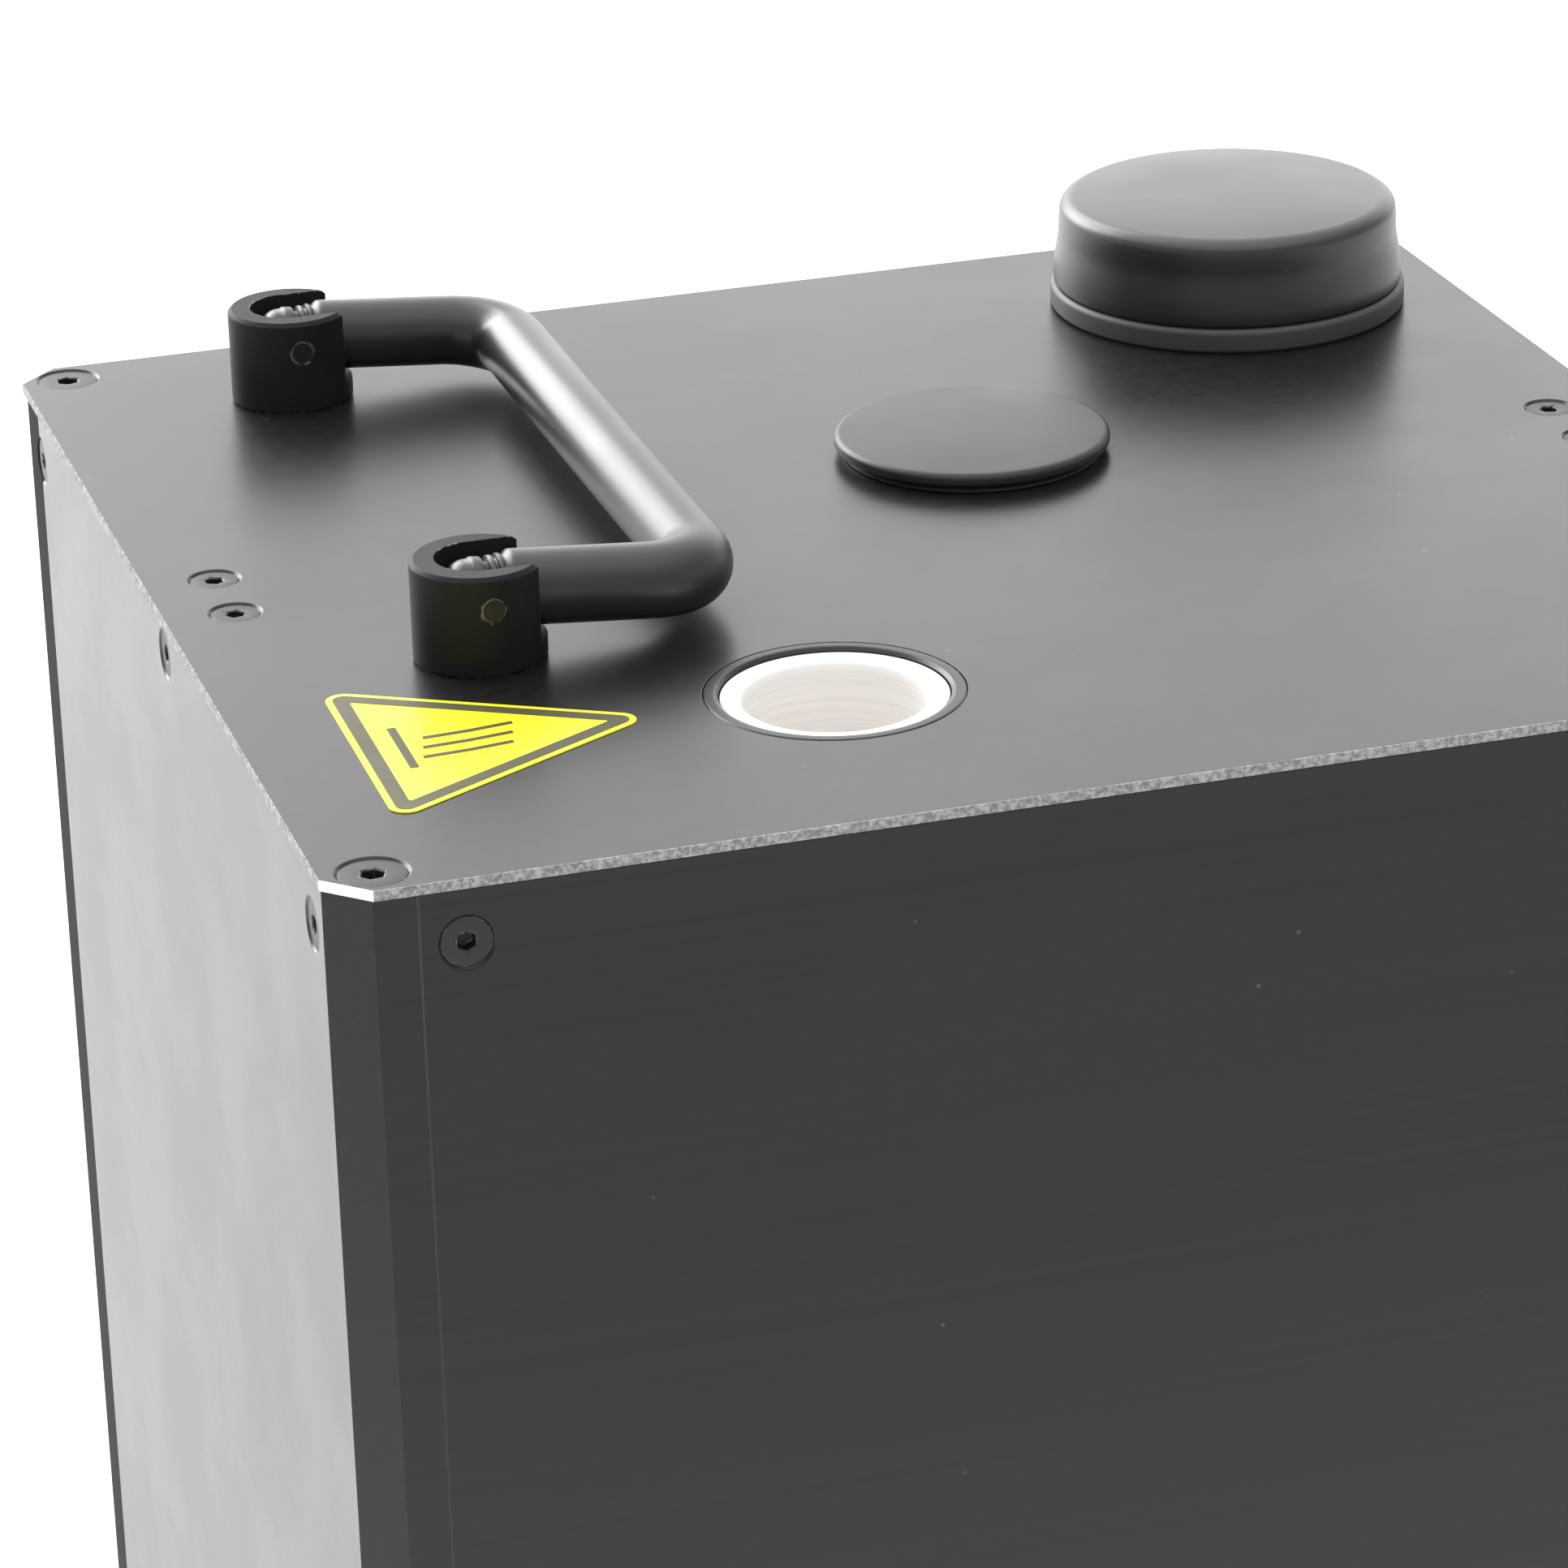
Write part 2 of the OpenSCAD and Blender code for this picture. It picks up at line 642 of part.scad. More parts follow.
module tank_tray() {
    gap = 0.5;
    lip = 1;
    low = floor_z + 0.01;
    size = [tank_x[1] - tank_x[0], tank_y[1] - tank_y[0]] + [1, 1] * 2 * (gap + lip);
    color("#b5b5b7") difference() {
        translate([tank_x[0] - gap - lip, tank_y[0] - gap - lip, low]) difference() {
            cube([size.x, size.y, 16]);
            translate([lip, lip, tank_z[0] - low - 0.05]) cube([size.x - 2 * lip, size.y - 2 * lip, 20]);
        }
        at_feet() translate([0, 0, low - 1]) cylinder(r = 6, h = tank_z[0] - low + 2);
    }
}

// The pick-up pipe with its strainer, hung from a fitting in the tank's roof
module pickup_tube() {
    color("#cfd2cf") translate([pickup_at.x, pickup_at.y, 0]) {
        translate([0, 0, tank_z[0] + 26]) cylinder(r = 2.5, h = tank_z[1] - tank_z[0] - 26 + 1);
        translate([0, 0, tank_z[0] + tank_wall + 2]) cylinder(r = 6, h = 24);
        translate([0, 0, tank_z[1] - 3]) cylinder(r = 4.8, h = 3 + eps);
        translate([0, 0, tank_z[1]]) cylinder(d = 15, h = 4, $fn = 6);
        translate([0, 0, tank_z[1] + 4 - eps]) cylinder(r = 2, h = 10);
    }
}

// A level probe under the inspection port
module level_sensor() {
    color("#2f4f6f") translate([sensor_x, plug_y, 0]) {
        translate([0, 0, tank_z[0] + 30]) cylinder(r = 3, h = tank_z[1] - tank_z[0] - 30 + 1);
        translate([0, 0, tank_z[0] + 60]) cylinder(r = 8, h = 16);
        translate([0, 0, tank_z[1] - 3]) cylinder(r = 4.8, h = 3 + eps);
        translate([0, 0, tank_z[1]]) cylinder(d = 16, h = 6, $fn = 6);
        translate([0, 0, tank_z[1] + 6 - eps]) cylinder(r = 5, h = 8);
    }
}

module suction_hose() {
    color("#d8d8d0") swept_rod(smooth(suction_route, 6), 3.2, 8, [0.1, 1, 0.15]);
}

module pressure_hose() {
    color("#e2e2dc") swept_rod(smooth(pressure_route, 6), 2.2, 8, [1, 0.1, 0.15]);
}

// ---- Pump ---------------------------------------------------------------------------------------------------

module at_pump(z = 0) {
    translate([pump_at.x, pump_at.y, pump_z + z]) children();
}

// A solenoid piston pump, standing on end: a bored barrel with a fitting at each end
module pump_body() {
    color("#8f8f92") at_pump() difference() {
        union() {
            cylinder(r = 8, h = pump_len);
            cylinder(d = 22, h = 8, $fn = 6);
            translate([0, 0, pump_len - 8]) cylinder(d = 22, h = 8, $fn = 6);
            translate([0, 0, -8]) cylinder(r = 2.2, h = 9);
            translate([0, 0, pump_len - 1]) cylinder(r = 2.2, h = 9);
        }
        translate([0, 0, bore_low]) cylinder(r = pump_bore_r, h = pump_len - 12 - bore_low);
        translate([0, 0, -9]) cylinder(r = 1, h = pump_len + 20);
    }
}

module pump_coil() {
    color("#b3622f") at_pump(18) difference() {
        union() {
            translate([0, 0, 1]) cylinder(r = 15, h = 32);
            box([34, 34, 2], [0, 0, 1]);
            box([34, 34, 2], [0, 0, 33]);
            box([34, 2.6, 32], [0, 15.7, 17]);
        }
        translate([0, 0, -1]) cylinder(r = 8.1, h = 40);
    }
}

module pump_plunger() {
    r = pump_bore_r - 0.05;
    color("#d0d0d2") at_pump(plunger_low) difference() {
        cylinder(r = r, h = plunger_len);
        translate([0, 0, -1]) cylinder(r = 1.2, h = plunger_len + 2);
    }
}

// Pushes the plunger up against its stop
module pump_spring() {
    wire = 0.6;
    color("#cfcfcf") at_pump(bore_low)
        swept_rod(helix(pump_bore_r - 1.2, wire + 0.05, spring_len - 2 * wire - 0.1, 5, 18), wire, 6);
}

module pump_bracket() {
    x = pump_at.x;
    y = pump_at.y - 17.2;
    low = floor_z + 0.01;
    color("#a8a8aa") difference() {
        union() {
            box([34, 20, 1.5], [x, y - 9, low + 0.75]);
            box([34, 1.5, 74], [x, y - 0.75, low + 37]);
        }
        for (dx = [-10, 10])
            translate([x + dx, y - 11, low - 1]) cylinder(r = 2.2, h = 4);
        for (dx = [-12, 12])
            translate([x + dx, y - 3, pump_z + 36]) rotate([-90, 0, 0]) cylinder(r = 1.6, h = 5);
    }
}

// ---- Control board ------------------------------------------------------------------------------------------

module at_board_spacers() {
    margin = 5;
    for (x = [board_x[0] + margin, board_x[1] - margin], z = [board_z[0] + margin, board_z[1] - margin])
        at_rear([x, z], rear_inner - rear_face) children();
}

module control_board() {
    size = [board_x[1] - board_x[0], board_t, board_z[1] - board_z[0]];
    y = board_y - board_t - 0.02;
    color("#1d5b36") difference() {
        union() {
            translate([board_x[0], y, board_z[0]]) cube(size);
            for (k = [0 : 2])
                box([15.5, 12, 19], [board_x[0] + 14 + 18 * k, y - 6 + eps, board_z[0] + 18]);
            for (k = [0 : 1])
                translate([board_x[0] + 72, y + eps, board_z[0] + 20 + 20 * k]) rotate([90, 0, 0])
                    cylinder(r = 7, h = 22);
            for (k = [0 : 5])
                box([8, 9, 9], [board_x[0] + 10 + 10 * k, y - 4.5 + eps, board_z[1] - 8]);
        }
        at_board_spacers() translate([0, 0, -spacer_len - 8]) cylinder(r = 1.6, h = spacer_len + 10);
    }
}

module transformer() {
    y = board_y - board_t - 0.03;
    at = [board_x[0] + 24, y, board_z[0] + 54];
    color("#3c3c40") {
        box([34, 16, 28], at - [0, 13, 0]);
        box([24, 28.9, 27], at - [0, 14.45, 0]);
    }
}

module heat_sink() {
    y = board_y - board_t - 0.03;
    at = [board_x[0] + 62, y, board_z[0] + 62];
    color("#9c9ca0") {
        box([26, 3, 20], at - [0, 1.5, 0]);
        for (k = [0 : 5])
            box([1.6, 16, 20], at + [-12 + 4.8 * k, -10.9, 0]);
    }
}

module board_spacers() {
    color("#c9a13c") at_board_spacers() {
        translate([0, 0, -spacer_len]) cylinder(d = 6, h = spacer_len - 0.02, $fn = 6);
        translate([0, 0, -eps]) cylinder(r = 1.5, h = panel_t + 0.02);
        translate([0, 0, panel_t]) cylinder(r = 2.9, h = 1.7);
    }
}

// ---- Rear controls ------------------------------------------------------------------------------------------

module mains_inlet() {
    color("#1b1b1b") at_rear(inlet_at) difference() {
        union() {
            box([31, 36, 2.5], [0, 0, 1.25]);
            box([27.2, 32, 24], [0, 0, -12 + eps]);
        }
        box([24, 16, 18], [0, -6, 2.5 - 9 + 1]);
        box([22, 7, 20], [0, 10, 2.5 - 10 + 1]);
    }
}

// Blades of the mains inlet and pins of the control socket
module socket_pins() {
    blade = [2, 4, 10];
    color("#d0c9a8") {
        at_rear(inlet_at) {
            for (x = [-7, 7])
                box(blade, [x, -8, -9.49]);
            box(blade, [0, -4, -9.49]);
        }
        at_rear(socket_at) for (a = [30, 150, 270])
            rotate([0, 0, a]) translate([4.4, 0, -14.49]) cylinder(r = 1.2, h = 9);
    }
}

module fuse_drawer() {
    color("#242424") at_rear(inlet_at) difference() {
        union() {
            box([21.6, 6.6, 15], [0, 10, 2.4 - 7.5]);
            box([12, 1.6, 1.2], [0, 12.2, 2.9]);
        }
        translate([0, 10, -6]) rotate([0, 90, 0]) cylinder(r = 2.7, h = 17, center = true);
        box([17, 10, 5], [0, 14, -6]);
    }
}

module switch_frame() {
    color("#1b1b1b") at_rear(switch_at) difference() {
        union() {
            box([26, 32, 2], [0, 0, 1]);
            box([22.4, 28.4, 18], [0, 0, -9 + eps]);
        }
        box([19, 25.2, 16], [0, 0, -5]);
        translate([0, 0, -1]) rotate([0, 90, 0]) cylinder(r = 1.55, h = 22, center = true);
    }
}

module switch_rocker() {
    width = 18.4;
    profile = [[-11.8, -1.5], [-11.8, 3.4], [0, 1.2], [11.8, 3.4], [11.8, -1.5], [0, -4]];
    color("#9c1d1d") at_rear(switch_at) translate([0, 0, -1]) rotate([switch_tilt, 0, 0]) {
        rotate([90, 0, 90]) linear_extrude(width, center = true) polygon([for (p = profile) [p.x, p.y + 1]]);
        rotate([0, 90, 0]) cylinder(r = 1.5, h = width + 2.6, center = true);
    }
}

module control_socket() {
    color("#2a2a2c") at_rear(socket_at) difference() {
        union() {
            box([26, 31, 2], [0, 0, 1]);
            translate([0, 0, -20]) cylinder(r = 11.7, h = 20 + eps);
        }
        translate([0, 0, -14.5]) cylinder(r = 9.2, h = 20);
        for (s = [-1, 1])
            translate([9.5 * s, 12 * s, -1]) cylinder(r = 1.6, h = 4);
    }
}

module remote_jack() {
    color("#77777a") at_rear(jack_at) difference() {
        union() {
            translate([0, 0, 0.01]) cylinder(d = 14, h = 2.5, $fn = 6);
            translate([0, 0, -3]) cylinder(r = 5, h = 7);
            box([14, 14, 22], [0, 0, -13 - eps]);
        }
        translate([0, 0, -20]) cylinder(r = 3.2, h = 30);
    }
}

module potentiometer() {
    color("#8a8a8c") at_rear(knob_at) difference() {
        union() {
            translate([0, 0, -panel_t - 10]) cylinder(r = 8.2, h = 10 - 0.01);
            translate([0, 0, -panel_t - 0.02]) cylinder(r = 4, h = 4);
        }
        translate([0, 0, -10]) cylinder(r = 3.05, h = 20);
    }
}

module output_knob() {
    r = knob_d / 2;
    low = 3.4;
    high = knob_reach + panel_inset;
    flute_r = 1.3;
    profile = [[0, low], [r, low], [r, low + 2], [r - 0.5, high - 0.8], [r - 1.3, high], [0, high]];
    color("#222224") at_rear(knob_at) rotate([0, 0, 135]) difference() {
        union() {
            rotate_extrude() polygon(profile);
            translate([0, 0, -9]) cylinder(r = 3, h = 9 + low + eps);
        }
        for (k = [0 : 11])
            rotate([0, 0, 30 * k + 15]) translate([r + 0.4, 0, low - 1]) cylinder(r = flute_r, h = high);
        box([1, 7, 1], [0, r - 6, high]);
    }
}

module button_bezel() {
    color("#77777a") at_rear(button_at) difference() {
        union() {
            rotate_extrude() polygon([[6.56, 0.01], [10, 0.01], [10, 1.4], [9.2, 2.2], [6.56, 2.2]]);
            translate([0, 0, -16]) cylinder(r = 8, h = 16 + 0.02);
        }
        translate([0, 0, -14]) cylinder(r = 6.56, h = 20);
    }
}

module fog_button() {
    color("#2f7d3a") at_rear(button_at)
        rotate_extrude() polygon([[0, 4.6], [4.5, 4.5], [5.9, 4.1], [6.5, 3.3], [6.5, -8], [0, -8]]);
}

// ---- Label --------------------------------------------------------------------------------------------------

// A rounded triangle that points along +X, drawn a distance in from the label's edge
module label_shape(inset) {
    corner = 2.1;
    reach = 18.9;
    r = max(corner - inset, 0.25);
    spread = reach - 2 * max(inset - corner + 0.25, 0);
    hull() for (a = [0, 120, 240])
        rotate([0, 0, a]) translate([spread, 0]) circle(r = r, $fn = 32);
}

module at_label() {
    translate([23.6, 37.95, top_z]) rotate([0, 0, -0.8]) children();
}

module caution_label() {
    color("#f2e20c") at_label() linear_extrude(0.15) label_shape(0);
}

// A dark border, a bar and three slanted dashes
module caution_mark() {
    color("#3a3820") at_label() translate([0, 0, 0.15]) linear_extrude(0.04) {
        difference() {
            label_shape(0.8);
            label_shape(2.6);
        }
        translate([-6.2, 0]) square([1.05, 12.4], center = true);
        for (k = [-1, 0, 1])
            translate([0.6 * k, 2.8 * k]) polygon([[-4, -1.1], [-4, -0.3], [1.4, 0.1], [6.7, 0.9], [6.7, 0.1], [1.4, -0.7]]);
    }
}

// ---- Assembly -----------------------------------------------------------------------------------------------

// Puts the origin under the middle of the whole object, knob included
module placed() {
    translate([-body_w / 2, -(body_d + knob_reach) / 2, 0]) children();
}

placed() top_plate();
placed() front_panel();
placed() right_panel();
placed() rear_panel();
placed() left_panel();
placed() base_plate();
placed() corner_posts();
placed() side_brackets();
placed() feet();
placed() foot_screws();
placed() corner_screws();
placed() case_screws();
placed() handle_post_front();
placed() handle_post_rear();
placed() hinge_pins();
placed() handle_nuts();
placed() handle_bar();
placed() outlet_ring();
placed() outlet_tube();
placed() outlet_socket();
placed() nozzle();
placed() heater_core();
placed() heater_coil();
placed() heater_cartridge();
placed() thermal_cutout();
placed() insulation_jacket();
placed() heater_shield();
placed() heater_stand();
placed() filler_collar();
placed() filler_cap();
placed() cap_seal();
placed() port_plug();
placed() fluid_tank();
placed() tank_tray();
placed() pickup_tube();
placed() level_sensor();
placed() suction_hose();
placed() pressure_hose();
placed() pump_body();
placed() pump_coil();
placed() pump_plunger();
placed() pump_spring();
placed() pump_bracket();
placed() control_board();
placed() transformer();
placed() heat_sink();
placed() board_spacers();
placed() mains_inlet();
placed() socket_pins();
placed() fuse_drawer();
placed() switch_frame();
placed() switch_rocker();
placed() control_socket();
placed() remote_jack();
placed() potentiometer();
placed() output_knob();
placed() button_bezel();
placed() fog_button();
placed() caution_label();
placed() caution_mark();
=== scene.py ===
"""Looks, light and camera of a fog machine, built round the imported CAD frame.

Sizes are in millimetres inside the classes and in metres in every mesh. Each sub-assembly is a class, each
finish is a frozen dataclass, and the Workshop turns a mesh into a piece that rides on a CAD body.
"""

import json
import logging
import math
from dataclasses import dataclass, field
from enum import Enum
from functools import partialmethod
from typing import Sequence

import bmesh
import bpy
from mathutils import Matrix, Vector

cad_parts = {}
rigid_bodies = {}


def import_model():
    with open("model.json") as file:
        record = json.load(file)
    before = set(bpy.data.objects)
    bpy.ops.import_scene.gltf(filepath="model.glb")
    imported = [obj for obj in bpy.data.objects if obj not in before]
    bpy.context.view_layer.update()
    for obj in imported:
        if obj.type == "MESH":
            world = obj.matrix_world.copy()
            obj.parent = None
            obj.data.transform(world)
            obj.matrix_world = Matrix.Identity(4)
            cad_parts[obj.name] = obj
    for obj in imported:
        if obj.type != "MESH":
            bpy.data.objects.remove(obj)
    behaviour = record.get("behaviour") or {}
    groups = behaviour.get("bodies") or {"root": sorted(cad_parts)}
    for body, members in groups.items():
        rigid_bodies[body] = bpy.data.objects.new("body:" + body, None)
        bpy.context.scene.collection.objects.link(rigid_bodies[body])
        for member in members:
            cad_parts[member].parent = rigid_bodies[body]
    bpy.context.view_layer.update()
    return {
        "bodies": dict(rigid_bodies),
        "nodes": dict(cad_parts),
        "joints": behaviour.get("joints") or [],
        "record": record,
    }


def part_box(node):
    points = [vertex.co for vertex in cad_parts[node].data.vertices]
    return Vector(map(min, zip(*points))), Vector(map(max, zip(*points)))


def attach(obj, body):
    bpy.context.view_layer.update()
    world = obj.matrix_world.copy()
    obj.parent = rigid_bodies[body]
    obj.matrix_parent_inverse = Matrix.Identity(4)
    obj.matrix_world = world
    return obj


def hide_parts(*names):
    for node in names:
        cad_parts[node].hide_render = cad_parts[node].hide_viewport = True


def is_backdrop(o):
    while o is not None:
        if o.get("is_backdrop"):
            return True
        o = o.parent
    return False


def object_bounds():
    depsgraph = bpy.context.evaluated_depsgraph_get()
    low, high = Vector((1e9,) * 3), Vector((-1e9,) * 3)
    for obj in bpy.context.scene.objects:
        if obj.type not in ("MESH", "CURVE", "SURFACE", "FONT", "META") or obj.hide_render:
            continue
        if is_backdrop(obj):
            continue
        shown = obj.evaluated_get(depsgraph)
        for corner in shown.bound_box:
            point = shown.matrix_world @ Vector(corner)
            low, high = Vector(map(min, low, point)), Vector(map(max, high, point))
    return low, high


log = logging.getLogger("fog_machine")

MM = 0.001
SHORTEST = 0.00003
SHARP = 32.0
BACKWARD = Matrix.Rotation(-math.pi / 2, 4, "X")
Socket, Sockets, Node, NodeTree = (
    bpy.types.NodeSocket, bpy.types.bpy_prop_collection, bpy.types.Node, bpy.types.NodeTree)
Object, Material = bpy.types.Object, bpy.types.Material
Point = tuple[float, float]
Colour = tuple[float, float, float]
Places = list[tuple[Vector, Vector]]


class Body(Enum):
    """The CAD bodies that pieces ride on."""

    CASING = "casing"
    HANDLE = "handle"
    CAP = "cap"
    PLUG = "plug"
    DRAWER = "drawer"
    ROCKER = "rocker"
    KNOB = "knob"
    BUTTON = "button"


class Slot(Enum):
    """The finishes of the record, by their names there."""

    ANODISED = "anodised_sheet"
    BARE = "bare_aluminium"
    BLACK_STEEL = "black_steel"
    ZINC = "zinc_steel"
    POST = "post_coating"
    HANDLE = "handle_nylon"
    RING = "ring_plastic"
    OUTLET = "outlet_white"
    BRASS = "brass"
    INSULATION = "insulation"
    CAP = "cap_plastic"
    COLLAR = "collar_plastic"
    SEAL = "seal_rubber"
    FOOT = "foot_rubber"
    PLUG = "plug_plastic"
    TANK = "tank_plastic"
    HOSE = "hose_plastic"
    SENSOR = "sensor_plastic"
    COIL = "coil_copper"
    THERMOSTAT = "thermostat_plastic"
    BOARD = "board_green"
    TRANSFORMER = "transformer_steel"
    MOULDED = "moulded_black"
    KNOB = "knob_plastic"
    ROCKER = "rocker_red"
    BUTTON = "button_green"
    SOCKET = "socket_metal"
    NICKEL = "nickel"
    YELLOW = "label_yellow"
    PRINT = "label_print"


class Run(Enum):
    """The way that brushing runs over a sheet."""

    ACROSS = (14.0, 2600.0, 2600.0)
    DEEP = (2600.0, 14.0, 2600.0)
    NONE = (1500.0, 1500.0, 1500.0)


# ---- Node trees ----------------------------------------------------------------------------------


class Graph:
    """Short calls that add nodes to one tree and link them."""

    def __init__(self, tree: NodeTree) -> None:
        """Takes the tree that the nodes go into."""
        self.tree = tree

    def node(self, kind: str, inputs: dict | None = None, **settings: object) -> Node:
        """Adds a node.

        Args:
            kind: the node's type name.
            inputs: a socket or a plain value for each input, by name or number.
            settings: the node's own properties.

        Returns:
            The new node.
        """
        made = self.tree.nodes.new(kind)
        for name, value in settings.items():
            setattr(made, name, value)
        self.feed(made, inputs or {})
        return made

    def feed(self, node: Node, inputs: dict) -> None:
        """Links a socket or sets a plain value at each input, by name or number."""
        for key, value in inputs.items():
            if isinstance(value, Socket):
                self.tree.links.new(value, node.inputs[key])
            else:
                node.inputs[key].default_value = value

    def math(self, operation: str, *values: object) -> Socket:
        """Returns the result of a Math node on the values."""
        return self.node("ShaderNodeMath", dict(enumerate(values)), operation=operation).outputs[0]

    add = partialmethod(math, "ADD")
    sub = partialmethod(math, "SUBTRACT")
    mul = partialmethod(math, "MULTIPLY")
    most = partialmethod(math, "MAXIMUM")
    over = partialmethod(math, "GREATER_THAN")

    def vector(self, operation: str, *values: object, out: str = "Vector") -> Socket:
        """Returns one output of a Vector Math node on the values."""
        return self.node("ShaderNodeVectorMath", dict(enumerate(values)), operation=operation).outputs[out]

    def parts(self, vector: object) -> list[Socket]:
        """Returns the three numbers of a vector."""
        return list(self.node("ShaderNodeSeparateXYZ", {0: vector}).outputs)

    def span(self, value: object, low: object, high: object, start: object = 0.0,
             end: object = 1.0) -> Socket:
        """Maps low..high to start..end, eased at both ends.

        Args:
            value: the number that is mapped.
            low: where the result is start.
            high: where the result is end.
            start: the first result.
            end: the last result.

        Returns:
            The mapped value.
        """
        keys = {0: value, 1: low, 2: high, 3: start, 4: end}
        return self.node("ShaderNodeMapRange", keys, interpolation_type="SMOOTHSTEP").outputs[0]

    def noise(self, vector: object, scale: object, detail: float = 3.0, rough: float = 0.55) -> Socket:
        """Returns the value of a noise pattern at the vector."""
        keys = {"Vector": vector, "Scale": scale, "Detail": detail, "Roughness": rough}
        return self.node("ShaderNodeTexNoise", keys).outputs[0]

    def blend(self, share: object, first: object, second: object) -> Socket:
        """Returns a colour between the first and the second."""
        return self.node("ShaderNodeMix", {0: share, 6: first, 7: second}, data_type="RGBA").outputs[2]


def grey(value: float) -> tuple[float, float, float, float]:
    """Returns an opaque grey."""
    return (value, value, value, 1.0)


def rgb(colour: Sequence[float]) -> tuple[float, float, float, float]:
    """Returns an opaque colour."""
    return (colour[0], colour[1], colour[2], 1.0)


class Effect(Enum):
    """The shader node groups that the finishes share, by their names."""

    GRAIN = "Fine grain"
    BRUSHING = "Brushing"
    WEAR = "Edge wear"
    RIM = "Plate rim"
    TURNING = "Turning marks"
    DUST = "Dust"


class Effects:
    """Builds every shared group once."""

    def __init__(self) -> None:
        """Builds the groups."""
        builders = (self._grain, self._brushing, self._wear, self._rim, self._turning, self._dust)
        self.groups: dict[Effect, NodeTree] = {
            effect: build(effect.value) for effect, build in zip(Effect, builders)}

    @staticmethod
    def _start(name: str, **inputs: object) -> tuple[Graph, Sockets]:
        """Makes an empty group that takes a vector.

        Args:
            name: the group's name.
            inputs: the default of each further input; a tuple makes a vector socket.

        Returns:
            The graph and the input sockets.
        """
        tree = bpy.data.node_groups.new(name, "ShaderNodeTree")
        for key, value in {"Vector": (0.0, 0.0, 0.0), **inputs}.items():
            kind = "NodeSocketVector" if isinstance(value, tuple) else "NodeSocketFloat"
            tree.interface.new_socket(key, in_out="INPUT", socket_type=kind).default_value = value
        graph = Graph(tree)
        return graph, graph.node("NodeGroupInput").outputs

    @staticmethod
    def _end(graph: Graph, **outputs: Socket) -> NodeTree:
        """Gives a group its outputs and returns it."""
        for key in outputs:
            graph.tree.interface.new_socket(key, in_out="OUTPUT", socket_type="NodeSocketFloat")
        graph.node("NodeGroupOutput", outputs)
        return graph.tree

    def _grain(self, name: str) -> NodeTree:
        """A fine even texture, and slow patches for the gloss."""
        g, at = self._start(name, Scale=2500.0)
        fine = g.noise(at["Vector"], at["Scale"], 4.0, 0.6)
        slow = g.noise(at["Vector"], g.mul(at["Scale"], 0.012), 4.0, 0.6)
        return self._end(g, Height=fine, Patches=g.span(slow, 0.3, 0.7))

    def _brushing(self, name: str) -> NodeTree:
        """Long fine scratches along one direction."""
        g, at = self._start(name, Stretch=Run.ACROSS.value)
        along = g.vector("MULTIPLY", at["Vector"], at["Stretch"])
        lines = g.noise(along, 1.0, 5.0, 0.72)
        return self._end(g, Height=lines, Tone=g.span(g.noise(along, 0.45, 3.0, 0.6), 0.32, 0.68))

    def _wear(self, name: str) -> NodeTree:
        """A broken mask along the edges of a piece."""
        g, at = self._start(name, Radius=0.0004, Scale=700.0, Amount=0.5)
        soft = g.node("ShaderNodeBevel", {"Radius": at["Radius"]}, samples=6).outputs[0]
        true = g.node("ShaderNodeNewGeometry").outputs["Normal"]
        edge = g.span(g.vector("DOT_PRODUCT", soft, true, out="Value"), 0.995, 0.86)
        broken = g.span(g.noise(at["Vector"], at["Scale"], 5.0, 0.7), 0.62, 0.38)
        return self._end(g, Mask=g.mul(edge, g.span(g.add(broken, at["Amount"]), 0.75, 1.15)))

    def _rim(self, name: str) -> NodeTree:
        """The cut edge round an eight-sided plate, centred on the vector's origin."""
        g, at = self._start(name, Width=0.1, Depth=0.1, Cut=0.005, Band=0.0002, Scale=1300.0)
        parts = g.parts(at["Vector"])
        x, y = g.math("ABSOLUTE", parts[0]), g.math("ABSOLUTE", parts[1])
        beside = g.most(g.sub(x, at["Width"]), g.sub(y, at["Depth"]))
        reach = g.sub(g.add(at["Width"], at["Depth"]), at["Cut"])
        corner = g.mul(g.sub(g.add(x, y), reach), math.sqrt(0.5))
        chips = g.noise(at["Vector"], at["Scale"], 3.0, 0.7)
        ragged = g.add(g.most(beside, corner), g.mul(g.sub(chips, 0.5), at["Band"]))
        return self._end(g, Mask=g.over(ragged, g.mul(at["Band"], -1.0)), Chips=g.span(chips, 0.36, 0.64),
                         Corner=g.over(corner, beside))

    def _turning(self, name: str) -> NodeTree:
        """Fine rings from a lathe tool, by height."""
        g, at = self._start(name, Pitch=0.0003)
        rate = g.math("DIVIDE", 1.0, at["Pitch"])
        stretch = g.node("ShaderNodeCombineXYZ", {0: 60.0, 1: 60.0, 2: rate}).outputs[0]
        return self._end(g, Height=g.noise(g.vector("MULTIPLY", at["Vector"], stretch), 1.0, 3.0, 0.6))

    def _dust(self, name: str) -> NodeTree:
        """Sparse pale specks."""
        g, at = self._start(name, Scale=900.0, Share=0.2)
        cells = g.node("ShaderNodeTexVoronoi", {"Vector": at["Vector"], "Scale": at["Scale"]}).outputs
        near = g.span(cells["Distance"], 0.16, 0.05)
        pick = g.node("ShaderNodeSeparateColor", {0: cells["Color"]}).outputs[0]
        return self._end(g, Mask=g.mul(near, g.over(at["Share"], pick)))


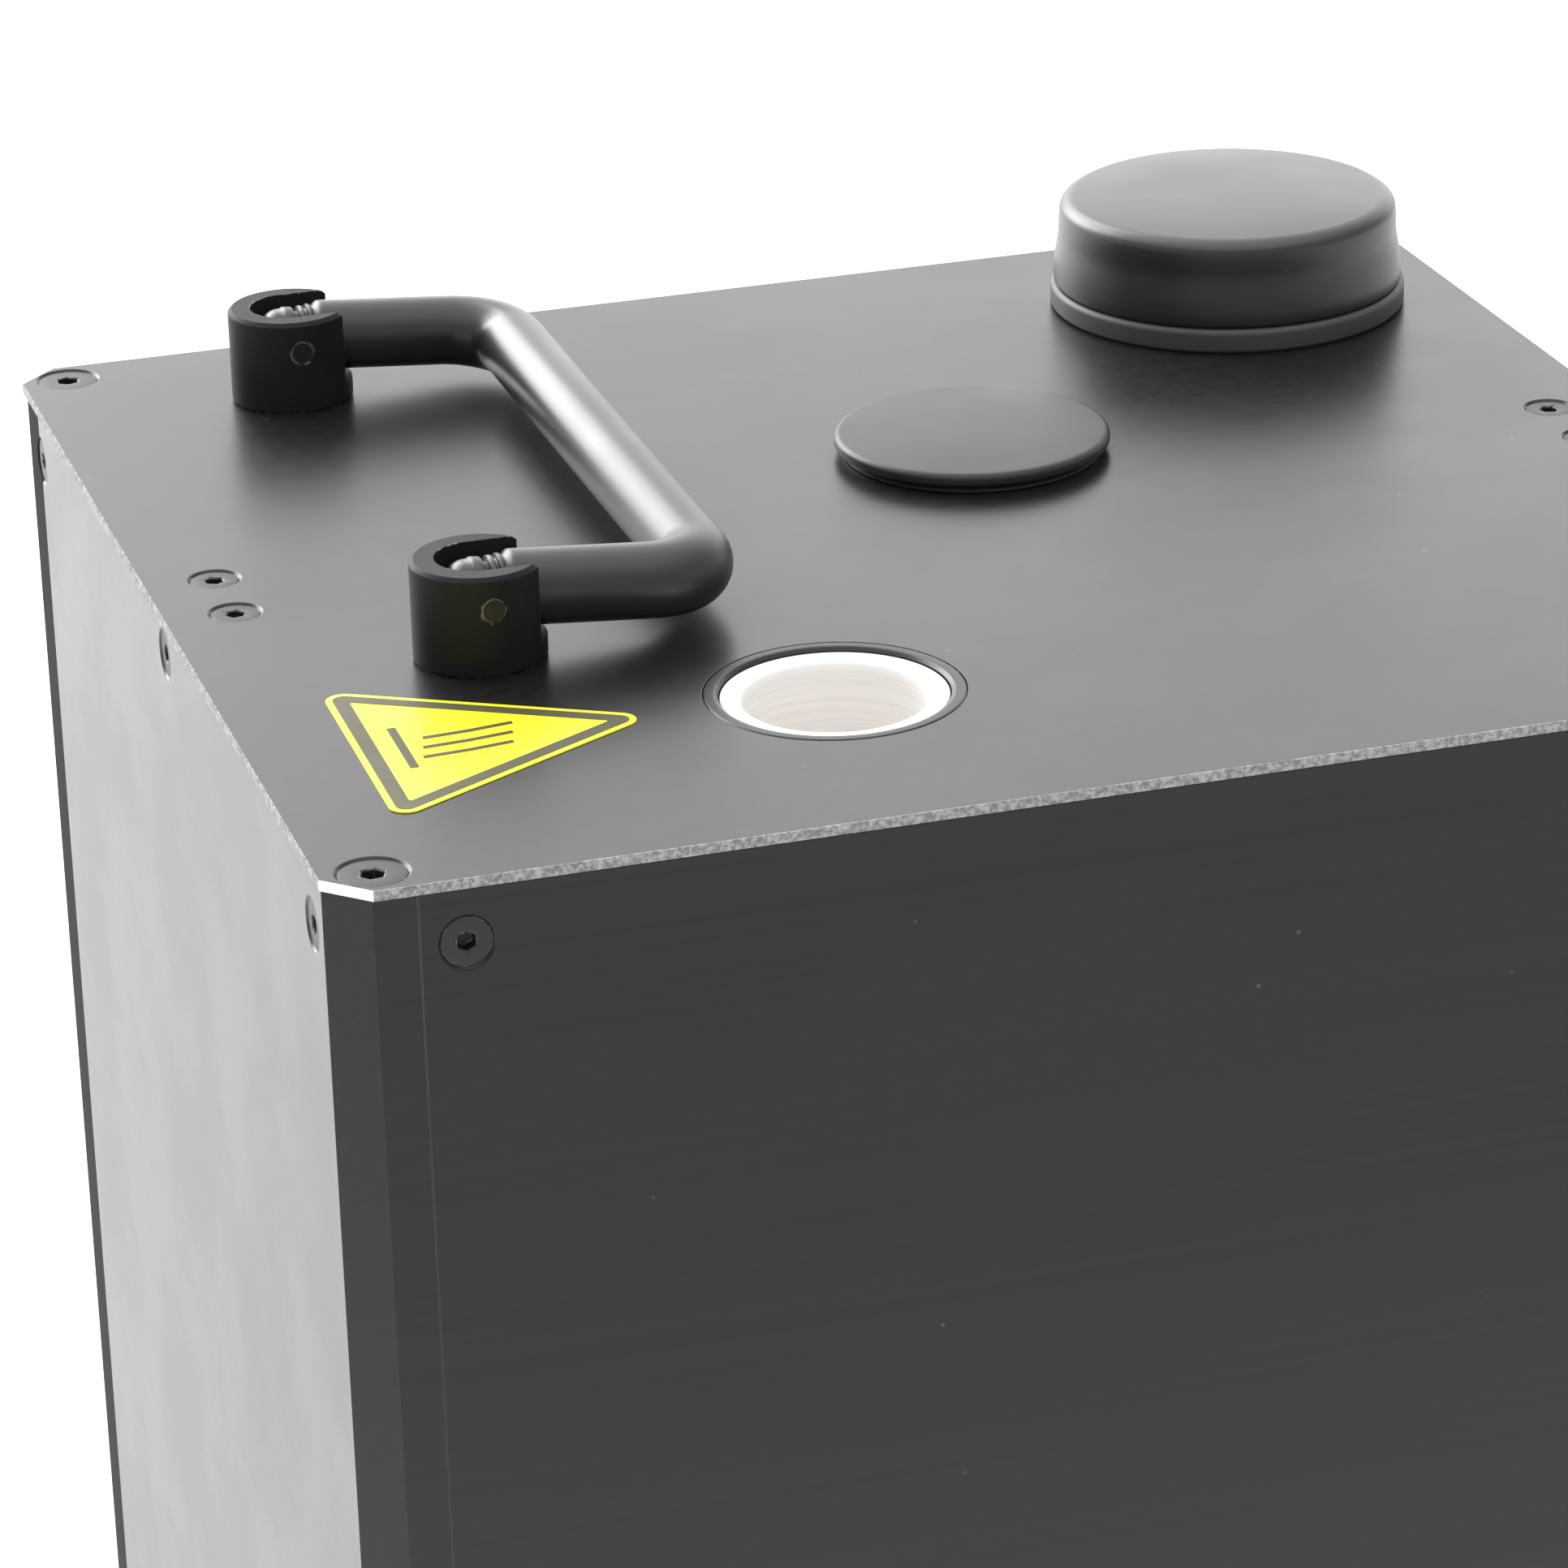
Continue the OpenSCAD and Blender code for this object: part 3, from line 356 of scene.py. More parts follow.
class Paint(Graph):
    """The tree of one material, with its shader, its object coordinates and the shared effects."""

    def __init__(self, name: str, effects: Effects | None = None) -> None:
        """Starts a material with a Principled shader."""
        self.material = bpy.data.materials.new(name)
        self.material.use_nodes = True
        super().__init__(self.material.node_tree)
        self.tree.nodes.clear()
        self.effects = effects
        self.shader = self.node("ShaderNodeBsdfPrincipled")
        self.node("ShaderNodeOutputMaterial", {"Surface": self.shader.outputs[0]})
        self.place = self.node("ShaderNodeTexCoord").outputs["Object"]

    def use(self, effect: Effect, **values: object) -> Sockets:
        """Places a shared group at the object coordinates, or at another Vector, and returns its outputs."""
        keys = {"Vector": self.place, **values}
        return self.node("ShaderNodeGroup", keys, node_tree=self.effects.groups[effect]).outputs

    def dress(self, **inputs: object) -> None:
        """Links or sets inputs of the shader, by name with _ for a space."""
        self.feed(self.shader, {name.replace("_", " "): value for name, value in inputs.items()})

    def bump(self, height: Socket, depth: float) -> None:
        """Feeds a height, whose whole range is depth metres, to the shader's normal."""
        self.dress(Normal=self.node("ShaderNodeBump", {"Height": height, "Distance": depth}).outputs[0])


# ---- Finishes ------------------------------------------------------------------------------------


@dataclass(frozen=True)
class Finish:
    """What every finish has."""

    name: str
    colour: Colour
    rough: float

    def material(self, effects: Effects) -> Material:
        """Returns the material with its shader and pattern."""
        paint = Paint(self.name, effects)
        paint.dress(Base_Color=rgb(self.colour), Roughness=self.rough)
        self.pattern(paint)
        return paint.material

    def pattern(self, paint: Paint) -> None:
        """Adds what changes over the surface."""

    def tone(self, factor: float) -> tuple[float, float, float, float]:
        """Returns a darker or lighter colour of this finish."""
        return rgb([min(1.0, c * factor) for c in self.colour])

    def shades(self, paint: Paint, share: object, first: float, last: float) -> Socket:
        """Returns a colour between two tones of this finish."""
        return paint.blend(share, self.tone(first), self.tone(last))

    def gloss(self, paint: Paint, share: object, less: float, more: float) -> Socket:
        """Returns a roughness from less below this finish's own to more above it."""
        return paint.span(share, 0.0, 1.0, self.rough - less, self.rough + more)


@dataclass(frozen=True)
class Anodised(Finish):
    """Black anodised aluminium sheet, brushed or blasted, with an optional bare rim and fold line, and
    painted light and shade: a highlight along the fold, shade on a curled strip, light toward the bottom.
    """

    run: Run = Run.NONE
    specular: float = 0.5
    grain: float = 0.000004
    grain_scale: float = 3200.0
    streaks: float = 0.2
    speck_scale: float = 420.0
    speck_share: float = 0.012
    rim: tuple[float, float, float, float] | None = None
    rim_colour: float = 0.3
    rim_rough: float = 0.5
    chip_height: float = 8.0
    corner_colour: float = 0.85
    fold: tuple[Sequence[float], float] | None = None
    # Half widths of the painted highlight along the fold, in metres.
    fold_highlight_half: Point = (0.00004, 0.00022)
    # Slope of the curled end strip's bump, which also gets painted shade, and how far before the fold that
    # strip starts.
    curl: float = 0.0
    curl_start: float = 0.0045
    # Strength of the painted light toward the bottom of the sheet, which stands in for light from the floor,
    # and the height in metres where it fades out.
    film: float = 0.0
    painted_floor_light_top: float = 0.3

    def pattern(self, paint: Paint) -> None:
        """Adds brushing, grain, painted light toward the bottom for light from the floor, a painted highlight
        along the fold, painted shade on a curled strip and the bare rim.
        """
        lines = paint.use(Effect.BRUSHING, Stretch=self.run.value)
        grain = paint.use(Effect.GRAIN, Scale=self.grain_scale)
        specks = paint.use(Effect.DUST, Scale=self.speck_scale, Share=self.speck_share)
        colour = self.shades(paint, lines["Tone"], 1.0 - self.streaks, 1.0 + self.streaks)
        colour = paint.blend(paint.mul(specks["Mask"], 0.35), colour, grey(0.2))
        rough = paint.add(self.gloss(paint, grain["Patches"], 0.015, 0.015),
                          paint.mul(paint.sub(lines["Tone"], 0.5), self.streaks * 0.05))
        height = paint.add(lines["Height"], grain["Height"])
        # Painted light: the sheet turns lighter toward the bottom, standing in for light from the floor.
        if self.film:
            low = paint.span(paint.parts(paint.place)[2], self.painted_floor_light_top, 0.0, 0.0, self.film)
            colour = paint.blend(low, colour, grey(0.09))
        if self.fold:
            direction, at = self.fold
            past = paint.sub(paint.vector("DOT_PRODUCT", paint.place, tuple(direction), out="Value"), at)
            if self.curl:
                within = paint.most(paint.add(past, self.curl_start), 0.0)
                height = paint.add(height, paint.mul(within, self.curl / self.grain))
                # Painted shade: the curled strip's colour is darkened to near black.
                colour = paint.blend(paint.over(within, 0.0), colour, grey(0.001))
            # Painted highlight: a thin light line along the fold.
            near, far = self.fold_highlight_half
            line = paint.mul(paint.span(paint.math("ABSOLUTE", past), far, near),
                             paint.span(grain["Patches"], 0.0, 1.0, 0.5, 1.0))
            colour = paint.blend(paint.mul(line, 0.05), colour, grey(0.5))
        if self.rim:
            width, depth, cut, middle = self.rim
            centred = paint.vector("SUBTRACT", paint.place, (0.0, middle, 0.0))
            edge = paint.use(Effect.RIM, Vector=centred, Width=width, Depth=depth, Cut=cut)
            bare = paint.blend(edge["Chips"], grey(self.rim_colour * 0.6), grey(self.rim_colour * 1.3))
            bare = paint.blend(edge["Corner"], bare, grey(self.corner_colour))
            colour = paint.blend(edge["Mask"], colour, bare)
            rough = paint.add(rough, paint.mul(edge["Mask"], self.rim_rough))
            height = paint.add(height, paint.mul(paint.mul(edge["Chips"], edge["Mask"]), self.chip_height))
        paint.dress(Base_Color=colour, Roughness=rough, Specular_IOR_Level=self.specular)
        paint.bump(height, self.grain)


@dataclass(frozen=True)
class Moulded(Finish):
    """Plastic or rubber with a fine texture, patchy gloss and edges that are polished by use."""

    specular: float = 0.5
    grain_scale: float = 2600.0
    grain: float = 0.00001
    polish: float = 1.6
    polish_rough: float = -0.08
    dust: float = 0.0
    coat: float = 0.0
    edge: float = 0.0006

    def pattern(self, paint: Paint) -> None:
        """Adds the texture, the patches, the worn edges and the dust."""
        grain = paint.use(Effect.GRAIN, Scale=self.grain_scale)
        worn = paint.use(Effect.WEAR, Radius=self.edge, Scale=450.0, Amount=0.35)
        colour = self.shades(paint, grain["Patches"], 0.85, 1.15)
        colour = paint.blend(worn["Mask"], colour, self.tone(self.polish))
        rough = paint.add(self.gloss(paint, grain["Patches"], 0.03, 0.04),
                          paint.mul(worn["Mask"], self.polish_rough))
        if self.dust:
            specks = paint.use(Effect.DUST, Scale=800.0, Share=self.dust)
            colour = paint.blend(paint.mul(specks["Mask"], 0.35), colour, grey(0.4))
        paint.dress(Base_Color=colour, Roughness=rough, Specular_IOR_Level=self.specular,
                    Coat_Weight=self.coat)
        paint.bump(grain["Height"], self.grain)


@dataclass(frozen=True)
class Coated(Finish):
    """Metal with a dark coating that is worn through along its edges and scuffed at its foot."""

    specular: float = 0.4
    metal: float = 0.42
    amount: float = 0.25
    scuff_at: float | None = None
    scuff: Point = (0.0001, 0.00028)
    edge: float = 0.00035

    def pattern(self, paint: Paint) -> None:
        """Adds the wear, the scuffed line and the fine texture."""
        grain = paint.use(Effect.GRAIN, Scale=3000.0)
        mask = paint.use(Effect.WEAR, Radius=self.edge, Scale=900.0, Amount=self.amount)["Mask"]
        if self.scuff_at is not None:
            near, far = (self.scuff_at + above for above in self.scuff)
            low = paint.span(paint.parts(paint.place)[2], far, near)
            torn = paint.span(paint.noise(paint.place, 1400.0, 4.0, 0.7), 0.47, 0.6)
            mask = paint.most(mask, paint.mul(low, torn))
        coating = self.shades(paint, grain["Patches"], 0.8, 1.25)
        paint.dress(Base_Color=paint.blend(mask, coating, grey(self.metal)),
                    Roughness=self.gloss(paint, grain["Patches"], 0.03, 0.05), Metallic=paint.mul(mask, 0.9),
                    Specular_IOR_Level=self.specular)
        paint.bump(paint.sub(grain["Height"], paint.mul(mask, 1.5)), 0.000008)


@dataclass(frozen=True)
class Machined(Finish):
    """Bare or plated metal with fine tool marks."""

    stretch: tuple[float, float, float] = (300.0, 300.0, 3000.0)
    marks: float = 0.000006

    def pattern(self, paint: Paint) -> None:
        """Adds the tool marks and a slight stain."""
        lines = paint.use(Effect.BRUSHING, Stretch=self.stretch)
        stain = paint.mul(paint.use(Effect.GRAIN, Scale=2000.0)["Patches"], lines["Tone"])
        paint.dress(Base_Color=self.shades(paint, stain, 1.12, 0.78), Metallic=1.0,
                    Roughness=self.gloss(paint, lines["Tone"], 0.05, 0.07))
        paint.bump(lines["Height"], self.marks)


@dataclass(frozen=True)
class TurnedWhite(Finish):
    """White fluoropolymer with tool rings, pinker and duller deep in its bore, a painted warm glow of light
    that scatters through the wall.
    """

    mouth: tuple[float, float, float] = (0.0, 0.0, 0.3)
    bore: float = 0.0109
    deep: Colour = (0.99, 0.955, 0.925)
    scatter: Colour = (1.0, 0.85, 0.75)

    def pattern(self, paint: Paint) -> None:
        """Adds the rings and the painted warm glow of scattered light into the bore."""
        place = paint.vector("SUBTRACT", paint.place, self.mouth)
        rings = paint.use(Effect.TURNING, Vector=place)["Height"]
        x, y, z = paint.parts(place)
        out = paint.math("SQRT", paint.add(paint.mul(x, x), paint.mul(y, y)))
        # Painted light: inside the bore the colour turns warmer and lighter, a painted glow of light that
        # scatters through the wall.
        inside = paint.mul(paint.span(out, self.bore + 0.0003, self.bore + 0.00005),
                           paint.span(z, -0.0006, -0.004))
        painted_glow = paint.blend(paint.span(rings, 0.4, 0.6), rgb([c * 0.93 for c in self.deep]), rgb(self.deep))
        paint.dress(Base_Color=paint.blend(inside, rgb(self.colour), painted_glow),
                    Roughness=paint.span(rings, 0.3, 0.7, self.rough - 0.04, self.rough + 0.06),
                    Subsurface_Weight=0.25, Subsurface_Radius=self.scatter, Subsurface_Scale=0.0015)
        paint.bump(rings, 0.00004)


@dataclass(frozen=True)
class Fibre(Finish):
    """Needled felt."""

    def pattern(self, paint: Paint) -> None:
        """Adds tangled fibres."""
        keys = {"Vector": paint.place, "Scale": 260.0, "Distortion": 22.0, "Detail": 4.0}
        threads = paint.node("ShaderNodeTexWave", keys).outputs[1]
        paint.dress(Base_Color=self.shades(paint, threads, 0.7, 1.1), Sheen_Weight=0.4)
        paint.bump(paint.add(threads, paint.use(Effect.GRAIN, Scale=1800.0)["Height"]), 0.0002)


@dataclass(frozen=True)
class Circuit(Finish):
    """A solder mask over copper tracks."""

    def pattern(self, paint: Paint) -> None:
        """Adds the tracks under the mask."""
        keys = {"Vector": paint.place, "Scale": 320.0}
        cells = paint.node("ShaderNodeTexVoronoi", keys, distance="MANHATTAN", feature="F2").outputs[0]
        tracks = paint.span(paint.math("FRACT", paint.mul(cells, 3.0)), 0.5, 0.6)
        patches = paint.use(Effect.GRAIN)["Patches"]
        paint.dress(Base_Color=self.shades(paint, tracks, 0.75, 1.5),
                    Roughness=self.gloss(paint, patches, 0.0, 0.12))
        paint.bump(tracks, 0.00003)


@dataclass(frozen=True)
class Winding(Finish):
    """Varnished wire, laid in even turns."""

    def pattern(self, paint: Paint) -> None:
        """Adds the turns of wire."""
        keys = {"Vector": paint.place, "Scale": 380.0, "Distortion": 0.4}
        turns = paint.node("ShaderNodeTexWave", keys, bands_direction="Z").outputs[1]
        paint.dress(Base_Color=self.shades(paint, turns, 0.45, 1.15), Metallic=0.6, Coat_Weight=0.5,
                    Roughness=paint.span(turns, 0.0, 1.0, self.rough + 0.2, self.rough))
        paint.bump(turns, 0.0002)


@dataclass(frozen=True)
class Printed(Finish):
    """A printed label sheet with a faint print screen and a scuffed gloss."""

    specular: float = 0.3
    coat: float = 0.0

    def pattern(self, paint: Paint) -> None:
        """Adds the unevenness of the ink and the scuffs."""
        grain = paint.use(Effect.GRAIN, Scale=5000.0)
        paint.dress(Base_Color=self.shades(paint, grain["Height"], 0.95, 1.04), Coat_Weight=self.coat,
                    Coat_Roughness=0.25, Roughness=self.gloss(paint, grain["Patches"], 0.0, 0.1),
                    Specular_IOR_Level=self.specular)
        paint.bump(grain["Height"], 0.000002)


SCREW = Coated("black oxide screw", (0.012, 0.012, 0.012), 0.4, metal=0.5, amount=0.3, edge=0.0002)
PINS = Coated("pin ends", (0.01, 0.01, 0.01), 0.4, metal=0.55, amount=0.6, edge=0.0003)
STANDARD: dict[Slot, Finish] = {
    Slot.BARE: Machined("bare aluminium", (0.62, 0.62, 0.64), 0.38),
    Slot.BLACK_STEEL: SCREW,
    Slot.ZINC: Machined("zinc plate", (0.6, 0.61, 0.62), 0.3, marks=0.000004),
    Slot.POST: Coated("post coating", (0.0135, 0.0135, 0.0137), 0.5, specular=0.14, amount=0.22,
                      scuff_at=0.3),
    Slot.HANDLE: Moulded("handle nylon", (0.021, 0.021, 0.0213), 0.34, specular=0.55, grain_scale=1600.0,
                         polish=2.0),
    Slot.RING: Moulded("outlet ring", (0.006, 0.006, 0.006), 0.34, specular=0.4, polish=3.0, edge=0.0002),
    Slot.BRASS: Machined("brass", (0.74, 0.53, 0.22), 0.28),
    Slot.INSULATION: Fibre("glass felt", (0.74, 0.7, 0.56), 0.95),
    Slot.CAP: Moulded("cap plastic", (0.016, 0.016, 0.0163), 0.36, specular=0.7, grain=0.000014,
                      grain_scale=1500.0, dust=0.01),
    Slot.COLLAR: Moulded("collar plastic", (0.055, 0.055, 0.0555), 0.5, grain_scale=1500.0, polish=2.5),
    Slot.SEAL: Moulded("seal rubber", (0.09, 0.09, 0.09), 0.8, specular=0.25, grain=0.00002),
    Slot.FOOT: Moulded("foot rubber", (0.016, 0.016, 0.016), 0.72, specular=0.3, grain=0.00003,
                       grain_scale=1300.0, dust=0.06),
    Slot.PLUG: Moulded("plug plastic", (0.02, 0.02, 0.0203), 0.44, specular=0.45, grain_scale=1700.0,
                       dust=0.02),
    Slot.TANK: Moulded("natural polyethylene", (0.8, 0.83, 0.79), 0.42, specular=0.4, grain=0.00002,
                       polish=1.02),
    Slot.HOSE: Moulded("clear hose", (0.72, 0.73, 0.68), 0.2, polish=1.02, coat=0.3),
    Slot.SENSOR: Moulded("sensor blue", (0.05, 0.12, 0.28), 0.4),
    Slot.COIL: Winding("copper winding", (0.62, 0.25, 0.1), 0.3),
    Slot.THERMOSTAT: Moulded("phenolic", (0.03, 0.018, 0.013), 0.5),
    Slot.BOARD: Circuit("solder mask", (0.012, 0.13, 0.045), 0.28),
    Slot.TRANSFORMER: Machined("varnished laminations", (0.09, 0.085, 0.1), 0.45,
                               stretch=(60.0, 2600.0, 60.0), marks=0.00003),
    Slot.MOULDED: Moulded("moulded black", (0.011, 0.011, 0.0115), 0.38, specular=0.45, grain_scale=1900.0),
    Slot.KNOB: Moulded("knob plastic", (0.012, 0.012, 0.013), 0.5, specular=0.4, grain_scale=1500.0),
    Slot.ROCKER: Moulded("rocker red", (0.42, 0.012, 0.014), 0.22, polish=1.1, grain=0.000004, coat=0.2),
    Slot.BUTTON: Moulded("button green", (0.03, 0.28, 0.06), 0.22, polish=1.1, grain=0.000004, coat=0.2),
    Slot.SOCKET: Coated("socket shell", (0.014, 0.014, 0.015), 0.36, specular=0.5, metal=0.45, amount=0.2),
    Slot.NICKEL: Machined("dull nickel", (0.64, 0.61, 0.56), 0.26),
    Slot.YELLOW: Printed("label yellow", (1.0, 0.9, 0.012), 0.32, coat=0.15),
    Slot.PRINT: Printed("label print", (0.07, 0.066, 0.03), 0.4),
}


# ---- Mesh making ---------------------------------------------------------------------------------


def linked(name: str, mesh: bpy.types.Mesh) -> Object:
    """Returns a new object in the scene that holds the mesh."""
    made = bpy.data.objects.new(name, mesh)
    bpy.context.scene.collection.objects.link(made)
    return made


def from_bmesh(name: str, shape: bmesh.types.BMesh, sharp: float = SHARP) -> Object:
    """Turns a bmesh into an object with smooth faces and sharp corners.

    Args:
        name: the object's name.
        shape: the bmesh, which is freed.
        sharp: the angle from which an edge stays sharp, in degrees.

    Returns:
        The object.
    """
    mesh = bpy.data.meshes.new(name)
    shape.to_mesh(mesh)
    shape.free()
    mesh.shade_smooth()
    mesh.set_sharp_from_angle(angle=math.radians(sharp))
    return linked(name, mesh)


def filleted(profile: Sequence[tuple[float, ...]], steps: int = 4) -> list[Point]:
    """Rounds the corners of a profile.

    Args:
        profile: points (r, z) or (r, z, rounding), in millimetres.
        steps: the pieces of each round.

    Returns:
        The points with each rounded corner replaced by an arc.
    """
    made: list[Point] = []
    for k, corner in enumerate(profile):
        here = Vector(corner[:2])
        size = corner[2] if len(corner) > 2 else 0.0
        if size <= 0.0 or k in (0, len(profile) - 1):
            made.append((here.x, here.y))
            continue
        back = Vector(profile[k - 1][:2]) - here
        ahead = Vector(profile[k + 1][:2]) - here
        cut = min(size, back.length * 0.48, ahead.length * 0.48)
        start, end = here + back.normalized() * cut, here + ahead.normalized() * cut
        for s in range(steps + 1):
            t = s / steps
            spot = start * (1 - t) ** 2 + here * 2 * t * (1 - t) + end * t**2
            made.append((spot.x, spot.y))
    return made


def ring(shape: bmesh.types.BMesh, radius: float | Sequence[float], height: float, segments: int,
         move: Matrix) -> list[bmesh.types.BMVert]:
    """Adds a ring of vertices, or a single one on the axis.

    Args:
        shape: the bmesh.
        radius: the radius in millimetres, or one for each step round.
        height: the height in millimetres.
        segments: the steps round.
        move: where the axis goes.

    Returns:
        The vertices.
    """
    if radius == 0.0:
        return [shape.verts.new(move @ Vector((0, 0, height * MM)))]
    sizes = [radius] * segments if isinstance(radius, float) else radius
    turns = [math.tau * k / segments for k in range(segments)]
    return [shape.verts.new(move @ Vector((r * MM * math.cos(a), r * MM * math.sin(a), height * MM)))
            for r, a in zip(sizes, turns)]


def bridge(shape: bmesh.types.BMesh, rings: list[list[bmesh.types.BMVert]], segments: int) -> None:
    """Joins each ring to the next, and the last to the first unless both are single points."""
    closed = len(rings[0]) > 1 or len(rings[-1]) > 1
    for low, high in list(zip(rings, rings[1:])) + ([(rings[-1], rings[0])] if closed else []):
        for k in range(segments):
            n = (k + 1) % segments
            corners = [low[k % len(low)], low[n % len(low)], high[n % len(high)], high[k % len(high)]]
            shape.faces.new(dict.fromkeys(corners))
    bmesh.ops.recalc_face_normals(shape, faces=shape.faces[:])


def turned(name: str, profile: Sequence[Point], centre: Vector, axis: str = "Z",
           segments: int = 128) -> Object:
    """Turns a profile round an axis through a centre.

    Args:
        name: the object's name.
        profile: points (radius, height) in millimetres, closed unless both ends are on the axis.
        centre: the point of height 0, in metres.
        axis: Z for an upright piece, Y for one that stands out behind the case.
        segments: the steps round.

    Returns:
        The object.
    """
    shape = bmesh.new()
    move = Matrix.Translation(centre) @ (BACKWARD if axis == "Y" else Matrix.Identity(4))
    rings = [ring(shape, float(radius), height, segments, move) for radius, height in profile]
    bridge(shape, rings, segments)
    return from_bmesh(name, shape)


def frozen(obj: Object, name: str, sharp: float | None = SHARP) -> Object:
    """Replaces an object with modifiers by a plain mesh.

    Args:
        obj: the object, which is removed.
        name: the plain object's name.
        sharp: the angle from which an edge stays sharp, in degrees, or None to keep the mesh's own shading.

    Returns:
        The plain object.
    """
    graph = bpy.context.evaluated_depsgraph_get()
    seen = obj.evaluated_get(graph)
    mesh = bpy.data.meshes.new_from_object(seen, preserve_all_data_layers=True, depsgraph=graph)
    bpy.data.objects.remove(obj)
    mesh.name = name
    if sharp is not None:
        mesh.shade_smooth()
        mesh.set_sharp_from_angle(angle=math.radians(sharp))
    return linked(name, mesh)


def even_shading(mesh: bpy.types.Mesh, angle: float) -> None:
    """Gives every corner the normal of the large faces beside it, so that these look flat to their edges.

    Args:
        mesh: a mesh whose rounded edges have the material index 1 and whose other faces have 0.
        angle: the angle up to which two faces share a normal, in degrees.
    """
    least = math.cos(math.radians(angle))
    shape = bmesh.new()
    shape.from_mesh(mesh)
    made: dict[int, Vector] = {}
    for vert in shape.verts:
        groups: list[list[bmesh.types.BMLoop]] = []
        main = [loop for loop in vert.link_loops if loop.face.material_index == 0]
        for loop in main or vert.link_loops:
            near = [g for g in groups if any(loop.face.normal.dot(k.face.normal) > least for k in g)]
            groups = [g for g in groups if g not in near] + [sum(near, [loop])]
        means = [sum((k.face.normal * k.calc_angle() for k in g), Vector()).normalized() for g in groups]
        for loop in vert.link_loops:
            own = [mean for g, mean in zip(groups, means) if loop in g]
            made[loop.index] = own[0] if own else max(means, key=loop.face.normal.dot)
    shape.free()
    mesh.shade_smooth()
    mesh.normals_split_custom_set([made[k] for k in range(len(mesh.loops))])


def softened(node: Object, name: str, width: float, segments: int = 2,
             angle: float = 24.0) -> Object:
    """Copies a CAD node and rounds its edges.

    Args:
        node: the CAD node.
        name: the copy's name.
        width: the rounding in millimetres.
        segments: the steps of the rounding.
        angle: the least angle that is rounded, in degrees.

    Returns:
        The copy, a plain mesh at the origin.
    """
    shape = bmesh.new()
    shape.from_mesh(node.data)
    bmesh.ops.remove_doubles(shape, verts=shape.verts[:], dist=SHORTEST)
    for axis in range(3):
        for plane in (min(v.co[axis] for v in shape.verts), max(v.co[axis] for v in shape.verts)):
            for v in shape.verts:
                if abs(v.co[axis] - plane) < SHORTEST:
                    v.co[axis] = plane
    for face in shape.faces:
        face.material_index = 0
    made = from_bmesh(name + "_copy", shape)
    made.data.materials.clear()
    for _ in range(2):
        made.data.materials.append(None)
    bevel = made.modifiers.new("Bevel", "BEVEL")
    bevel.width, bevel.segments = width * MM, segments
    bevel.limit_method, bevel.angle_limit = "ANGLE", math.radians(angle)
    bevel.use_clamp_overlap = bevel.loop_slide = False
    bevel.material = 1
    rounded = frozen(made, name, None)
    even_shading(rounded.data, angle)
    for face in rounded.data.polygons:
        face.material_index = 0
    return rounded


# ---- Geometry Nodes ------------------------------------------------------------------------------


class Tree:
    """A geometry node tree with named inputs, and the modifier calls that use it."""

    def __init__(self, name: str, inputs: dict[str, tuple[str, object]]) -> None:
        """Makes the tree.

        Args:
            name: the tree's name.
            inputs: socket type and default of each input.
        """
        self.tree = bpy.data.node_groups.new(name, "GeometryNodeTree")
        self.tree.interface.new_socket("Geometry", in_out="INPUT", socket_type="NodeSocketGeometry")
        for key, (kind, value) in inputs.items():
            socket = self.tree.interface.new_socket(key, in_out="INPUT", socket_type=kind)
            if value is not None:
                socket.default_value = value
        self.tree.interface.new_socket("Geometry", in_out="OUTPUT", socket_type="NodeSocketGeometry")
        self.graph = Graph(self.tree)
        self.given = self.graph.node("NodeGroupInput").outputs

    def end(self, geometry: Socket) -> None:
        """Ends the tree in Realize Instances and Set Material."""
        real = self.graph.node("GeometryNodeRealizeInstances", {"Geometry": geometry}).outputs[0]
        keys = {"Geometry": real, "Material": self.given["Material"]}
        dressed = self.graph.node("GeometryNodeSetMaterial", keys).outputs[0]
        self.graph.node("NodeGroupOutput", {"Geometry": dressed})

    def run(self, source: Object, name: str, values: dict[str, object],
            sharp: float = SHARP) -> Object:
        """Runs the tree on an object.

        Args:
            source: the object, which is used up.
            name: the result's name.
            values: the tree's inputs by name.
            sharp: the angle from which an edge stays sharp, in degrees.

        Returns:
            A plain mesh object.
        """
        made = source.modifiers.new(self.tree.name, "NODES")
        made.node_group = self.tree
        for item in self.tree.interface.items_tree:
            if item.item_type == "SOCKET" and item.in_out == "INPUT" and item.name in values:
                made[item.identifier] = values[item.name]
        return frozen(source, name, sharp)


def repeat_tree() -> Tree:
    """Returns a tree that sets a part on every point, turned to the point's axis and by a seeded spin."""
    made = Tree("Set parts on points", {
        "Part": ("NodeSocketObject", None), "Spread": ("NodeSocketFloat", math.tau),
        "Seed": ("NodeSocketInt", 1), "Material": ("NodeSocketMaterial", None)})
    g = made.graph
    axis = g.node("GeometryNodeInputNamedAttribute", {"Name": "axis"}, data_type="FLOAT_VECTOR").outputs[0]
    turned_to = g.node("FunctionNodeAlignRotationToVector", {"Vector": axis}, axis="Z").outputs[0]
    keys = {2: 0.0, 3: made.given["Spread"], "Seed": made.given["Seed"]}
    spin = g.node("FunctionNodeRandomValue", keys, data_type="FLOAT").outputs[1]
    about = g.node("FunctionNodeAxisAngleToRotation", {"Axis": (0.0, 0.0, 1.0), "Angle": spin}).outputs[0]
    keys = {"Rotation": turned_to, "Rotate By": about}
    both = g.node("FunctionNodeRotateRotation", keys, rotation_space="LOCAL").outputs[0]
    part = g.node("GeometryNodeObjectInfo", {"Object": made.given["Part"]}).outputs["Geometry"]
    points = g.node("GeometryNodeMeshToPoints", {"Mesh": made.given["Geometry"]}).outputs[0]
    keys = {"Points": points, "Instance": part, "Rotation": both}
    made.end(g.node("GeometryNodeInstanceOnPoints", keys).outputs[0])
    return made


